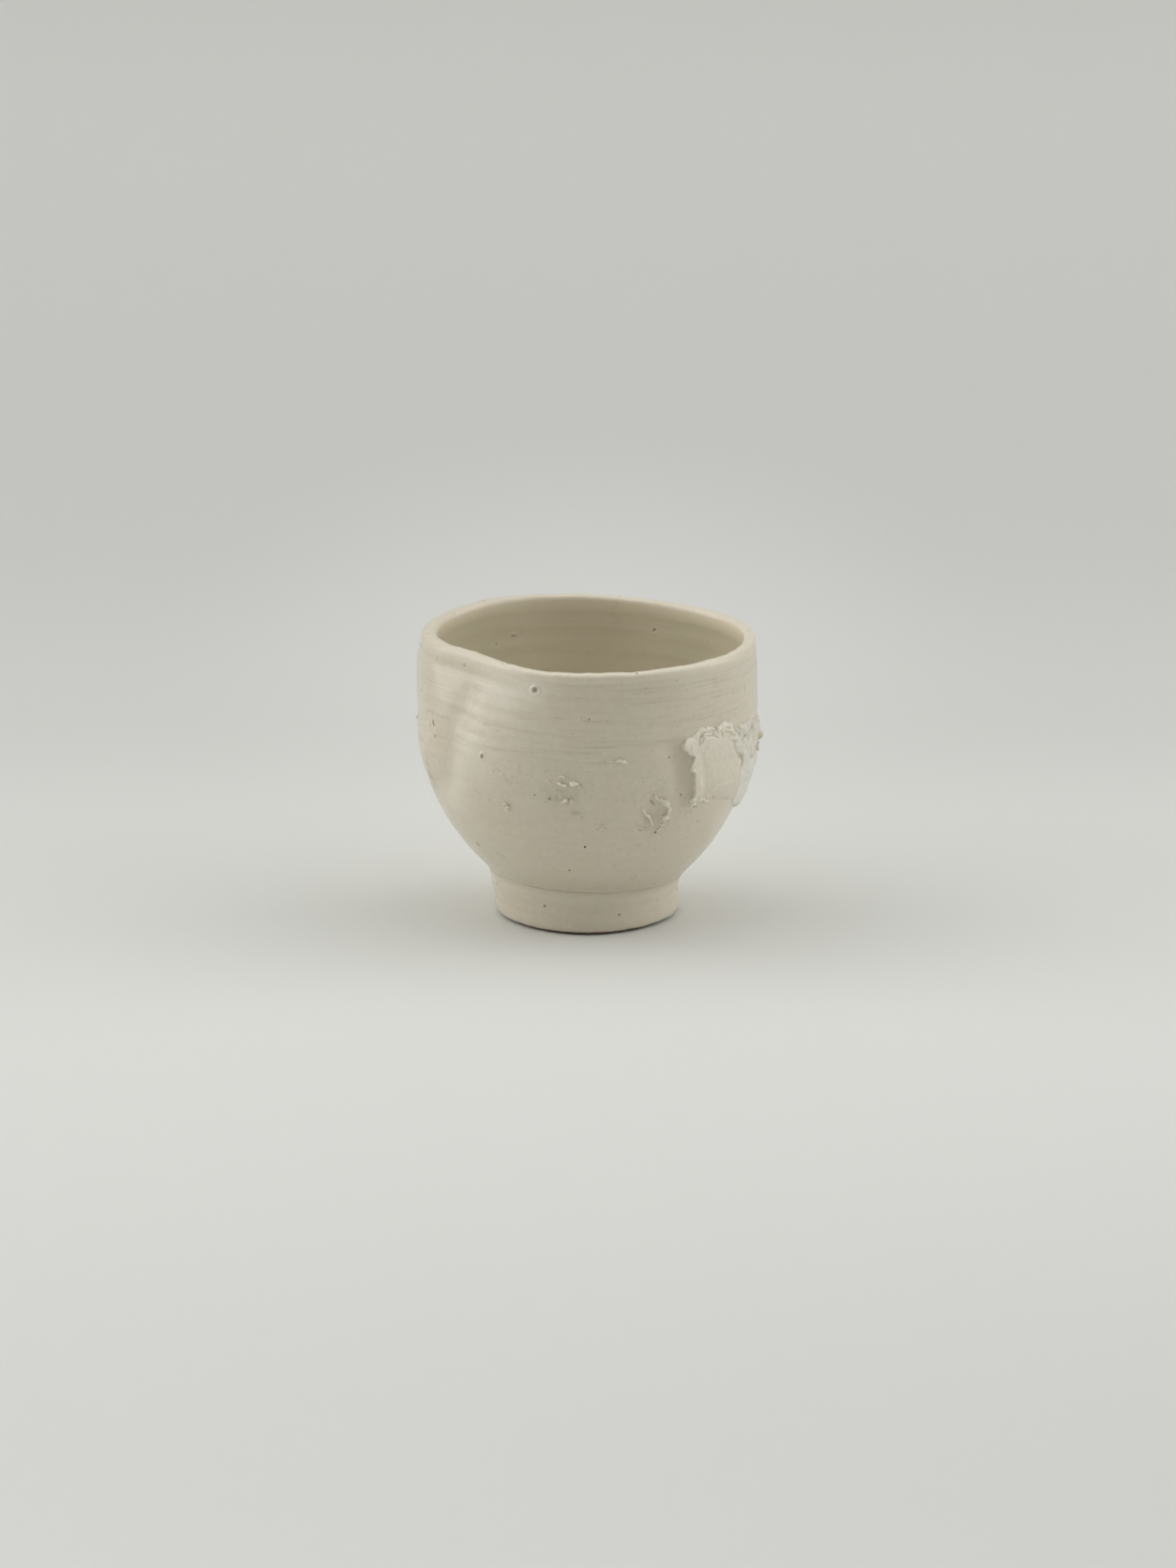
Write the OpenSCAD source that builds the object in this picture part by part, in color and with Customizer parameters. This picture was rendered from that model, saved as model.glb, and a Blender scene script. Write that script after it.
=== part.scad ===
// A small wheel-thrown cup: a bowl pressed in on one side, on a turned foot ring,
// with torn scraps of clay stuck to its wall. Millimetres, +Z up.
// The origin is on the table, under the middle of the foot. Angles are counted round the
// foot's axis from +X, so the front of the cup, which faces -Y, is at 270 degrees.

/* [Bowl] */
// Height of the lip above the table
cup_height = 67; // [64:0.5:74]
// Outer radius of the wall at its widest
bowl_radius = 40; // [37:0.5:46]
// Height of the widest place above the table
shoulder_height = 52.5; // [49:0.5:56]
// Outer radius of the wall just under the lip
neck_radius = 39.4; // [37:0.1:41]
// Thickness of the wall a little below the lip, from where it thickens towards the floor
wall = 3.6; // [3:0.1:5]
// Thickness of the rounded lip
lip_thickness = 3; // [2.4:0.1:3.6]
// Thickness of the floor over the foot's recess
floor_thickness = 4.7; // [3.5:0.1:6]
// Steepness of the wall where it leaves the foot, in degrees from the table
flare_angle = 43.5; // [42:0.5:56]
// How far the wall runs nearly straight as it leaves the foot
flare_run = 17.5; // [12:0.5:20]
// How far below the widest place the wall begins to turn upright
belly_run = 18; // [16:0.5:24]
// How far out the inside floor reaches before it rounds up into the wall, as a radius
floor_run = 28.5; // [22:0.5:31]
// How far the lower wall leans towards +X
sway = 0.6; // [0:0.1:1.5]

/* [Lip] */
// How far the lip rises on its high side and falls on its low side
lip_wave = 0.3; // [0:0.05:1]
// Where the lip is highest, in degrees
lip_wave_angle = 115; // [0:5:355]
// How far the lip rises and falls twice round
lip_twist = 0.2; // [0:0.05:0.6]

/* [Pressed side] */
// Middle of the pressed side, in degrees
press_angle = 219; // [205:1:235]
// How far the lip is pressed in
press_depth = 5.2; // [0:0.1:8]
// How far round the press reaches to each side, in degrees
press_spread = 27; // [18:1:36]
// How far below the lip the press fades out
press_reach = 30; // [20:1:36]
// How far the lip is pushed up by the press
press_lift = 0.4; // [0:0.1:1]
// Where the upright fold under the press lies, in degrees
fold_angle = 217; // [205:1:225]
// Depth of the fold
fold_depth = 1.3; // [0:0.1:1.5]
// How wide the fold is, in degrees
fold_spread = 6; // [4:0.5:10]
// Height of the fold's middle above the table
fold_height = 44; // [40:1:54]
// How far the fold reaches up and down from its middle
fold_tall = 14; // [8:1:16]
// How far round the cup the fold's top end lies from its bottom end, in degrees
fold_lean = 9; // [0:1:14]
// How far the wall bulges out between the fold and the left side
bulge = 0.5; // [0:0.1:1]

/* [Marks cut in the wall] */
// Depth of the gouge at the lower right of the front
gouge_depth = 1; // [0:0.1:1.5]
// Where the gouge is, in degrees
gouge_angle = 295.5; // [285:0.5:300]
// Height of the gouge's middle above the table
gouge_height = 33; // [30:0.5:38]
// Width of the gouge
gouge_width = 7; // [5:0.5:9]
// Height of the gouge from end to end
gouge_tall = 11; // [8:0.5:14]
// Depth of the hollow beside the torn slab
hollow_depth = 0.7; // [0:0.1:1.5]
// Where the hollow is, in degrees
hollow_angle = 304; // [302:0.5:305]
// Height of the hollow's middle above the table
hollow_height = 42; // [40:0.5:44]
// Width of the hollow
hollow_width = 6; // [5:0.5:9]
// Height of the hollow from end to end
hollow_tall = 16; // [12:1:20]

/* [Foot ring] */
// Height of the foot ring, up to the underside of the bowl
foot_height = 10.7; // [8:0.1:13]
// Outer radius of the foot ring where it meets the bowl
foot_top_radius = 22.4; // [20:0.1:25]
// Outer radius of the foot ring low down, above its bevel
foot_low_radius = 21.4; // [19.5:0.1:23]
// How wide the worn bevel round the bottom is
foot_bevel = 2.1; // [1:0.1:3]
// Width of the flat ring that stands on the table
foot_land = 3.4; // [2.4:0.1:5]
// How far the recess under the foot narrows towards the table
recess_taper = 1.4; // [0.4:0.1:2]

/* [Torn slab] */
// Middle of the slab, in degrees
slab_angle = 323; // [320:0.5:325]
// Height of the slab's middle above the table
slab_height = 41; // [39:0.5:43]
// Width of the slab round the wall
slab_width = 20; // [16:0.5:21]
// Height of the slab from end to end
slab_tall = 20; // [16:0.5:21]
// Thickness of the slab in its middle
slab_thickness = 1; // [0.6:0.1:1.6]
// How much thicker the slab's torn edge is
slab_edge = 0.5; // [0:0.1:0.8]
// Bare wall between the slab and the flap that goes on round the right side
flap_gap = 2.7; // [2:0.1:4]
// How far below the slab's middle the flap's middle lies
flap_drop = 2.5; // [1.5:0.1:3.5]
// Width of the flap round the wall
flap_width = 27; // [22:0.5:28]
// Height of the flap from end to end
flap_tall = 26; // [20:0.5:27]
// Thickness of the flap in its middle
flap_thickness = 0.6; // [0.4:0.1:1.2]
// How far the curled scrap along the slab's top edge stands off the wall
curl_rise = 1.4; // [0.8:0.1:2]
// Width of the curled scrap
curl_width = 1.6; // [1:0.1:1.8]
// Length of the curled scrap round the wall
curl_length = 10.5; // [8:0.5:11]
// How far the lump on the right side stands off the flap
lump_rise = 0.5; // [0.4:0.1:1.2]
// Width and height of the lump
lump_size = 4.4; // [3:0.1:5]
// How far the crumbs at the slab's lower left corner stand off the wall
crumb_rise = 0.9; // [0.4:0.1:1.4]
// Size of the largest of these crumbs
crumb_size = 2; // [1.4:0.1:2.2]

/* [Small scraps] */
// How far the ear-shaped scrap in the gouge stands off the wall
crescent_rise = 1.1; // [0.6:0.1:1.6]
// Height of the ear-shaped scrap from end to end
crescent_tall = 11.2; // [9:0.1:12]
// Thickness of the ear-shaped scrap from side to side
crescent_width = 1.5; // [1:0.1:1.8]
// How far the thin fold inside it stands off the wall
inner_fold_rise = 0.7; // [0.4:0.1:1]
// Width of the thin fold
inner_fold_width = 0.9; // [0.6:0.1:1.1]
// How far the small scraps left of the middle stand off the wall
scrap_rise = 0.7; // [0.4:0.1:1.2]
// Length of the small hooked scrap
hook_length = 2.6; // [1.8:0.1:3.2]
// Length of the small ring-like scrap
ring_length = 2.4; // [1.8:0.1:2.8]
// Length of the low scrap
low_length = 2.9; // [2:0.1:3.6]
// Length of the crumb right of the middle
front_crumb_length = 2.6; // [1.8:0.1:3.4]
// Width of the smear at the left outline
smear_width = 11; // [8:0.5:13]
// Height of the smear from end to end
smear_tall = 12; // [9:0.5:14]
// Thickness of the smear
smear_thickness = 0.5; // [0.3:0.1:0.9]
// Diameter of the small bead
bead_size = 1.3; // [0.8:0.1:1.8]

/* [Hidden] */

// Colour of the glazed clay
glaze_colour = [0.80, 0.77, 0.69];
// Gap that the slip fills between a scrap and the wall
slip_gap = 0.2;
// Steps round the bowl
around = 84;
// Steps up the outer wall below the widest place, above it, round the lip, and down the inside
rings_low = 17;
rings_high = 6;
rings_lip = 4;
rings_inside = 13;
// Radius of the flat at the very middle of the inside floor
floor_middle = 2.5;
// Steps of the search for a height on the wall's curve
search_steps = 18;

lip_round = lip_thickness / 2;
lip_base = cup_height - lip_round;
inside_radius = bowl_radius - wall;
inside_floor = foot_height + floor_thickness;
degrees_per_mm = 360 / (2 * PI * bowl_radius);

// Shares of the straight rise between the widest place and the lip, for the wall's slow turn inwards
neck_turn_share = 0.4;
neck_end_share = 0.3;
neck_lean_share = 0.35;
// Share of the belly's run below the widest place at which the inside turns towards the floor
inside_turn_share = 0.465;

// The outer curve of the wall: a flare from the foot up to the widest place, then a slow turn in
low_curve = [[foot_top_radius, foot_height],
             [foot_top_radius + flare_run * cos(flare_angle), foot_height + flare_run * sin(flare_angle)],
             [bowl_radius, shoulder_height - belly_run],
             [bowl_radius, shoulder_height]];
high_curve = [[bowl_radius, shoulder_height],
              [bowl_radius, shoulder_height + (lip_base - shoulder_height) * neck_turn_share],
              [neck_radius + (bowl_radius - neck_radius) * neck_lean_share,
               lip_base - (lip_base - shoulder_height) * neck_end_share],
              [neck_radius, lip_base]];
inside_curve = [[neck_radius - lip_thickness, lip_base],
                [inside_radius, shoulder_height - belly_run * inside_turn_share],
                [floor_run, inside_floor],
                [floor_middle, inside_floor]];

// A point on a cubic curve
function on_curve(c, t) = pow(1 - t, 3) * c[0] + 3 * pow(1 - t, 2) * t * c[1]
                          + 3 * (1 - t) * pow(t, 2) * c[2] + pow(t, 3) * c[3];

// The place on a rising curve that has a given height
function curve_place(c, z, low = 0, high = 1, step = 0) =
    let (middle = (low + high) / 2)
    step == search_steps ? middle
    : on_curve(c, middle)[1] < z ? curve_place(c, z, middle, high, step + 1)
    : curve_place(c, z, low, middle, step + 1);

// Outer radius of the wall at a height, before it is pressed or marked
function thrown_radius(z) =
    z < shoulder_height ? on_curve(low_curve, curve_place(low_curve, z))[0]
                        : on_curve(high_curve, curve_place(high_curve, z))[0];

// How far angle a lies from angle b, between -180 and 180 degrees
function turn(a, b) = let (d = (a - b + 720) % 360) d > 180 ? d - 360 : d;

// A smooth hump: 1 in the middle and near 0 beyond its width
function hump(distance, width) = exp(-pow(distance / width, 2));

// A smooth step from 0 at one height to 1 at another
function smooth_step(z, low, high) =
    let (s = min(1, max(0, (z - low) / (high - low)))) s * s * (3 - 2 * s);

// How far round the wall an angle lies from another, in millimetres
function round_the_wall(a, b) = turn(a, b) / degrees_per_mm;

// The bulge lies this many degrees before the fold, and is this wide
bulge_offset = 24;
bulge_spread = 18;

// Where the fold lies at a height, as it leans round the cup
function fold_place(z) = fold_angle + fold_lean / 2 * (z - fold_height) / fold_tall;

// Shape given to the wall by hand: the same on its outer and inner face
function pressed(a, z) =
    -press_depth * hump(turn(a, press_angle), press_spread)
      * smooth_step(z, cup_height - press_reach, cup_height)
    - fold_depth * hump(turn(a, fold_place(z)), fold_spread) * hump(z - fold_height, fold_tall)
    + bulge * hump(turn(a, fold_angle - bulge_offset), bulge_spread) * hump(z - fold_height, fold_tall)
    + sway * cos(a) * sin(180 * smooth_step(z, foot_height, shoulder_height));

// How far the lip is lifted or lowered at an angle
function lip_lift(a) = lip_wave * cos(a - lip_wave_angle) + lip_twist * cos(2 * (a - lip_wave_angle))
                       + press_lift * hump(turn(a, press_angle), press_spread);
function lift(a, z) = lip_lift(a) * smooth_step(z, shoulder_height - belly_run, cup_height);

// Marks in the outer face only
function marked(a, z) =
    -gouge_depth * hump(round_the_wall(a, gouge_angle), gouge_width / 2)
      * hump(z - gouge_height, gouge_tall / 2)
    - hollow_depth * hump(round_the_wall(a, hollow_angle), hollow_width / 2)
      * hump(z - hollow_height, hollow_tall / 2);

// A point that stands a given distance off the outer face
function wall_point(a, z, off = 0) =
    let (r = thrown_radius(z) + pressed(a, z) + marked(a, z) + off)
    [r * cos(a), r * sin(a), z + lift(a, z)];

// A point near the wall, given by its distances round and up from a named place
function near_wall(angle, height, place, off) =
    wall_point(angle + place[0] * degrees_per_mm, height + place[1], off);

// A ring of the bowl: every point of the profile at its angle, marked only on the outer face
function bowl_point(p, a, outside) =
    let (r = p[0] + pressed(a, p[1]) * min(1, p[0] / inside_radius) + (outside ? marked(a, p[1]) : 0))
    [r * cos(a), r * sin(a), p[1] + lift(a, p[1])];

module bowl() {
    outer = concat([for (i = [0:rings_low]) on_curve(low_curve, i / rings_low)],
                   [for (i = [1:rings_high]) on_curve(high_curve, i / rings_high)]);
    lip = [for (i = [1:rings_lip])
           let (t = 180 * i / rings_lip)
           [neck_radius - lip_round + lip_round * cos(t), lip_base + lip_round * sin(t)]];
    inner = [for (i = [1:rings_inside]) on_curve(inside_curve, i / rings_inside)];
    rings = concat(outer, lip, inner);
    count = len(rings);
    points = [for (i = [0:count - 1]) for (j = [0:around - 1])
              bowl_point(rings[i], 360 * j / around, i < len(outer))];
    sides = [for (i = [0:count - 2]) for (j = [0:around - 1])
             let (k = (j + 1) % around, a = i * around, b = (i + 1) * around)
             each [[a + j, b + j, b + k], [a + j, b + k, a + k]]];
    underside = [[for (j = [0:around - 1]) j]];
    middle = [[for (j = [0:around - 1]) (count - 1) * around + around - 1 - j]];
    color(glaze_colour) polyhedron(points, concat(underside, sides, middle), convexity = 6);
}

// Shares of the foot's height at which its bevel ends, its side begins to flare and its side is upright
bevel_rise_share = 0.2;
side_low_share = 0.6;
side_high_share = 0.92;
// Share of the side's flare that is reached where it begins to flare
side_flare_share = 0.3;
// Where the round of the bevel lies, in shares of its width and of its height
bevel_round_shares = [0.6, 0.35];
// Size of the worn inner edge of the land, in shares of the land's width
recess_edge_share = 0.15;

module foot_ring() {
    land_outer = foot_low_radius - foot_bevel;
    land_inner = land_outer - foot_land;
    recess_top = land_inner + recess_taper;
    bevel_rise = foot_height * bevel_rise_share;
    edge = foot_land * recess_edge_share;
    flare = foot_top_radius - foot_low_radius;
    color(glaze_colour) rotate_extrude($fn = around)
        polygon([[land_inner + edge, 0],
                 [land_outer, 0],
                 [land_outer + foot_bevel * bevel_round_shares[0], bevel_rise * bevel_round_shares[1]],
                 [foot_low_radius, bevel_rise],
                 [foot_low_radius + flare * side_flare_share, foot_height * side_low_share],
                 [foot_top_radius, foot_height * side_high_share],
                 [foot_top_radius, foot_height],
                 [recess_top, foot_height],
                 [land_inner, edge]]);
}

// A torn plate on the wall. Its outline goes round its middle in shares of its width and height, and
// its thickness is given at each of its rings, from the middle out. It sits at seat off the wall
module wall_plate(angle, height, width, tall, outline_shares, ring_shares, thickness, seat = slip_gap) {
    n = len(outline_shares);
    k = len(ring_shares);
    function place(i, j) = ring_shares[i] * [outline_shares[j][0] * width, outline_shares[j][1] * tall];
    top = concat([near_wall(angle, height, [0, 0], seat + thickness[0])],
                 [for (i = [0:k - 1]) for (j = [0:n - 1])
                  near_wall(angle, height, place(i, j), seat + thickness[i + 1])]);
    bottom = concat([near_wall(angle, height, [0, 0], seat)],
                    [for (i = [0:k - 1]) for (j = [0:n - 1]) near_wall(angle, height, place(i, j), seat)]);
    half = len(top);
    fans = [for (j = [0:n - 1]) let (m = (j + 1) % n)
            each [[0, 1 + m, 1 + j], [half, half + 1 + j, half + 1 + m]]];
    bands = k < 2 ? [] : [for (i = [0:k - 2]) for (j = [0:n - 1])
             let (m = (j + 1) % n, a = 1 + i * n, b = a + n)
             each [[a + j, a + m, b + m], [a + j, b + m, b + j],
                   [half + a + j, half + b + m, half + a + m], [half + a + j, half + b + j, half + b + m]]];
    rim = [for (j = [0:n - 1]) let (m = (j + 1) % n, a = 1 + (k - 1) * n)
           each [[a + j, a + m, half + a + m], [a + j, half + a + m, half + a + j]]];
    polyhedron(concat(top, bottom), concat(fans, bands, rim), convexity = 4);
}

// The section of a ridge: places across it, and how high it is there
section_shares = [-1, -0.55, 0, 0.55, 1];
section_rise_shares = [0.3, 0.85, 1, 0.8, 0.25];

// A ridge on the wall along a line given in shares of its length and height. Its width at each point
// of the line is a share too, and it is lower where it is narrower
module wall_ridge(angle, height, length, tall, line_shares, width, width_shares, rise) {
    n = len(line_shares);
    m = len(section_shares);
    line = [for (p = line_shares) [p[0] * length, p[1] * tall]];
    function along(i) = let (d = line[min(n - 1, i + 1)] - line[max(0, i - 1)]) d / norm(d);
    function across(i) = [along(i)[1], -along(i)[0]];
    function place(i, s) = line[i] + across(i) * s * width_shares[i] * width / 2;
    points = [for (i = [0:n - 1]) each concat(
        [for (j = [0:m - 1]) near_wall(angle, height, place(i, section_shares[j]),
                                       slip_gap + rise * section_rise_shares[j] * sqrt(width_shares[i]))],
        [for (j = [m - 1:-1:0]) near_wall(angle, height, place(i, section_shares[j]), slip_gap)])];
    ring = 2 * m;
    sides = [for (i = [0:n - 2]) for (j = [0:ring - 1])
             let (a = i * ring, b = a + ring, q = (j + 1) % ring)
             each [[a + j, b + q, a + q], [a + j, b + j, b + q]]];
    start = [[for (j = [0:ring - 1]) j]];
    end = [[for (j = [0:ring - 1]) n * ring - 1 - j]];
    polyhedron(points, concat(start, sides, end), convexity = 4);
}

// Where the rings of a plate lie, from its middle to its torn edge
plate_ring_shares = [0.35, 0.65, 0.9, 1];
// How thick the slab's outermost ring is, in shares of its torn edge
slab_rim_share = 0.75;

// Ragged outline of the slab, from its right edge counter-clockwise round
slab_outline_shares = [[0.50, -0.02], [0.42, 0.09], [0.29, 0.20], [0.23, 0.30], [0.15, 0.37], [0.03, 0.39],
                       [-0.09, 0.38], [-0.20, 0.40], [-0.31, 0.38], [-0.40, 0.42], [-0.52, 0.48],
                       [-0.63, 0.475], [-0.62, 0.36], [-0.58, 0.275], [-0.47, 0.18], [-0.49, 0.08],
                       [-0.44, -0.03], [-0.42, -0.13], [-0.39, -0.23], [-0.34, -0.29], [-0.15, -0.35],
                       [0.02, -0.41], [0.20, -0.45], [0.36, -0.50], [0.50, -0.54], [0.56, -0.38],
                       [0.52, -0.20]];

module torn_slab() {
    edge = slab_thickness + slab_edge;
    color(glaze_colour)
        wall_plate(slab_angle, slab_height, slab_width, slab_tall, slab_outline_shares, plate_ring_shares,
                   [slab_thickness, slab_thickness, slab_thickness, edge, edge * slab_rim_share]);
}

// Ragged outline of the flap, from its right edge counter-clockwise round
flap_outline_shares = [[0.49, -0.02], [0.44, 0.10], [0.36, 0.17], [0.26, 0.29], [0.10, 0.36], [0.00, 0.46],
                       [-0.15, 0.42], [-0.28, 0.52], [-0.41, 0.50], [-0.51, 0.46], [-0.43, 0.32],
                       [-0.35, 0.22], [-0.28, 0.10], [-0.23, -0.06], [-0.19, -0.21], [-0.15, -0.36],
                       [-0.05, -0.44], [0.05, -0.49], [0.21, -0.50], [0.31, -0.40], [0.41, -0.34],
                       [0.44, -0.17]];

// Thickness of the flap at each of its rings, from the middle out, in shares
flap_thickness_shares = [1, 1, 0.9, 1.1, 0.7];
// How far the slab's and the flap's facing edges lie from their middles, half way up, in shares of
// their widths
slab_side_share = 0.47;
flap_side_share = 0.25;
flap_angle = slab_angle
             + (slab_width * slab_side_share + flap_gap + flap_width * flap_side_share) * degrees_per_mm;
flap_height = slab_height - flap_drop;

module torn_flap() {
    color(glaze_colour)
        wall_plate(flap_angle, flap_height, flap_width, flap_tall, flap_outline_shares, plate_ring_shares,
                   flap_thickness * flap_thickness_shares);
}

// The curl's middle, right of and above the slab's middle in shares of the slab's width and height
curl_place_share = [-0.06, 0.455];
// The curl's wavy line, in shares of its length and width
curl_line_shares = [[-0.5, -0.55], [-0.42, -0.15], [-0.30, 0.10], [-0.14, 0.12], [0.02, 0.02], [0.16, 0.20],
                    [0.30, 0.36], [0.42, 0.38], [0.5, 0.15]];
curl_width_shares = [0.5, 0.8, 1, 0.9, 0.7, 0.9, 1, 0.8, 0.45];

module slab_curl() {
    color(glaze_colour)
        wall_ridge(slab_angle + curl_place_share[0] * slab_width * degrees_per_mm,
                   slab_height + curl_place_share[1] * slab_tall + curl_width / 2,
                   curl_length, curl_width, curl_line_shares, curl_width, curl_width_shares, curl_rise);
}

lump_outline_shares = [[0.50, 0.05], [0.36, 0.30], [0.16, 0.50], [-0.10, 0.42], [-0.34, 0.36], [-0.50, 0.06],
                       [-0.42, -0.24], [-0.20, -0.42], [0.08, -0.50], [0.30, -0.36], [0.42, -0.20]];
// The lump's middle on the flap, in shares of the flap's width and height
lump_place_share = [0.17, 0.15];
// Where the lump's rings lie, and how high it is in its middle and at each ring
lump_ring_shares = [0.4, 0.75, 1];
lump_rise_shares = [1, 0.95, 0.7, 0.3];

module side_lump() {
    color(glaze_colour)
        wall_plate(flap_angle + lump_place_share[0] * flap_width * degrees_per_mm,
                   flap_height + lump_place_share[1] * flap_tall, lump_size, lump_size, lump_outline_shares,
                   lump_ring_shares, lump_rise * lump_rise_shares, slip_gap + flap_thickness + slip_gap);
}

// The slab's lower left corner, from its middle in shares of its width and height
crumb_corner_share = [-0.41, -0.33];
// Crumbs: each is a place right of and above that corner in shares of the largest crumb, and then its
// own width and height in the same shares
crumb_table_shares = [[-0.55, 0.10, 1, 0.6],
                      [0.55, -0.35, 0.8, 0.5],
                      [2.3, -0.75, 1, 0.45],
                      [1.1, -1.15, 0.6, 0.5]];
// Where a crumb's rings lie, and how high it is in its middle and at each ring
crumb_ring_shares = [0.55, 1];
crumb_rise_shares = [1, 0.85, 0.35];
crumb_outline_shares = [[0.50, 0.04], [0.30, 0.42], [-0.08, 0.50], [-0.38, 0.30], [-0.50, -0.08],
                        [-0.22, -0.44], [0.16, -0.50], [0.42, -0.28]];

module slab_crumbs() {
    corner_angle = slab_angle + crumb_corner_share[0] * slab_width * degrees_per_mm;
    corner_height = slab_height + crumb_corner_share[1] * slab_tall;
    color(glaze_colour)
        for (c = crumb_table_shares)
            wall_plate(corner_angle + c[0] * crumb_size * degrees_per_mm, corner_height + c[1] * crumb_size,
                       crumb_size * c[2], crumb_size * c[3], crumb_outline_shares, crumb_ring_shares,
                       crumb_rise * c[2] * crumb_rise_shares);
}

// The ear-shaped ridge on the right of the gouge, in shares of its height
crescent_line_shares = [[-0.22, 0.50], [-0.10, 0.42], [0.10, 0.27], [0.28, 0.14], [0.38, 0.00], [0.34, -0.14],
                        [0.24, -0.28], [0.14, -0.42], [0.06, -0.50]];
crescent_width_shares = [0.35, 0.7, 0.9, 1, 1, 0.9, 0.75, 0.6, 0.35];

module crescent_scrap() {
    color(glaze_colour)
        wall_ridge(gouge_angle, gouge_height, crescent_tall, crescent_tall, crescent_line_shares,
                   crescent_width, crescent_width_shares, crescent_rise);
}

inner_fold_line_shares = [[-0.36, 0.14], [-0.28, 0.04], [-0.18, -0.06], [-0.08, -0.16], [-0.02, -0.28],
                          [-0.01, -0.38]];
inner_fold_width_shares = [0.4, 0.8, 1, 1, 0.8, 0.4];

module crescent_fold() {
    color(glaze_colour)
        wall_ridge(gouge_angle, gouge_height, crescent_tall, crescent_tall, inner_fold_line_shares,
                   inner_fold_width, inner_fold_width_shares, inner_fold_rise);
}

// Places of the small scraps: angle in degrees, and height as a share of the cup's height
front_crumb_angle = 281.8;
front_crumb_height_share = 0.695;
hook_angle = 266.2;
hook_height_share = 0.612;
// Bare wall between the hooked and the ring-like scrap, which lies to its left
scrap_gap = 0.7;
ring_angle = hook_angle - ((hook_length + ring_length) / 2 + scrap_gap) * degrees_per_mm;
ring_height_share = 0.615;
low_angle = 263.6;
low_height_share = 0.55;
bead_angle = 240.7;
bead_height_share = 0.513;
smear_angle = 197;
smear_height_share = 0.66;

scrap_width_share = 0.34;
hook_line_shares = [[-0.50, -0.02], [-0.22, 0.16], [0.06, 0.20], [0.26, 0.06], [0.38, -0.18], [0.42, -0.40]];
hook_width_shares = [0.5, 0.9, 1, 1, 0.8, 0.45];
ring_line_shares = [[-0.42, 0.34], [-0.10, 0.40], [0.20, 0.34], [0.34, 0.10], [0.22, -0.18]];
low_line_shares = [[-0.50, -0.12], [-0.26, 0.02], [-0.02, 0.12], [0.20, 0.06], [0.44, 0.12]];
tapered_width_shares = [0.45, 0.9, 1, 0.85, 0.45];

module small_ridge(angle, height_share, length, line_shares, width_shares) {
    color(glaze_colour)
        wall_ridge(angle, cup_height * height_share, length, length, line_shares,
                   length * scrap_width_share, width_shares, scrap_rise);
}

module front_crumb() {
    small_ridge(front_crumb_angle, front_crumb_height_share, front_crumb_length, low_line_shares,
                tapered_width_shares);
}

module scrap_hook() {
    small_ridge(hook_angle, hook_height_share, hook_length, hook_line_shares, hook_width_shares);
}

module scrap_ring() {
    small_ridge(ring_angle, ring_height_share, ring_length, ring_line_shares, tapered_width_shares);
}

module scrap_low() {
    small_ridge(low_angle, low_height_share, low_length, low_line_shares, tapered_width_shares);
}

smear_outline_shares = [[0.50, 0.10], [0.40, 0.26], [0.26, 0.34], [0.12, 0.48], [-0.06, 0.44], [-0.22, 0.50],
                        [-0.38, 0.36], [-0.42, 0.18], [-0.50, 0.02], [-0.40, -0.16], [-0.30, -0.34],
                        [-0.12, -0.42], [0.02, -0.50], [0.18, -0.38], [0.28, -0.24], [0.42, -0.12]];

// Thickness of the smear in its middle and at each ring, in shares
smear_thickness_shares = [1, 1, 0.8, 1, 0.6];

module left_smear() {
    color(glaze_colour)
        wall_plate(smear_angle, cup_height * smear_height_share, smear_width, smear_tall,
                   smear_outline_shares, plate_ring_shares, smear_thickness * smear_thickness_shares);
}

// Where the bead's rings lie, and how high it is in its middle and at each ring
bead_ring_shares = [0.5, 0.85, 1];
bead_rise_shares = [0.5, 0.45, 0.3, 0.1];

module small_bead() {
    color(glaze_colour)
        wall_plate(bead_angle, cup_height * bead_height_share, bead_size, bead_size, crumb_outline_shares,
                   bead_ring_shares, bead_size * bead_rise_shares);
}

bowl();
foot_ring();
torn_slab();
torn_flap();
slab_curl();
side_lump();
slab_crumbs();
crescent_scrap();
crescent_fold();
front_crumb();
scrap_hook();
scrap_ring();
scrap_low();
left_smear();
small_bead();
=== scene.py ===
"""A small hand-thrown cup in an off-white glaze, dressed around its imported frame. Metres, +Z up."""

import math

import bpy
import numpy as np
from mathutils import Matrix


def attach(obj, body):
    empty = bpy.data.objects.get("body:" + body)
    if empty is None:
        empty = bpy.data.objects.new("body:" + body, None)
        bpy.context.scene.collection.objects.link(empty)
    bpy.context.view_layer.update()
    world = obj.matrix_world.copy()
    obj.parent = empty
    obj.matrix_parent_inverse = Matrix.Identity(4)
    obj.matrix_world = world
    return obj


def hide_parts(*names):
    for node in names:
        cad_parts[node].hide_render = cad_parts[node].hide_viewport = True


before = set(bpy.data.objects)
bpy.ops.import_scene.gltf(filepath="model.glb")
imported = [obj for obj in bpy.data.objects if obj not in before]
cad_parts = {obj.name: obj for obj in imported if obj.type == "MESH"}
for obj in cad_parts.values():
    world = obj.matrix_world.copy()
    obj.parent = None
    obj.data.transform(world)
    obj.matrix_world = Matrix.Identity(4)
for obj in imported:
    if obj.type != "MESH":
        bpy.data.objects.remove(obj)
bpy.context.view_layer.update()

# Shapes are worked out in millimetres and degrees, like the solids, and stored in metres
MM = 0.001

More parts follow.
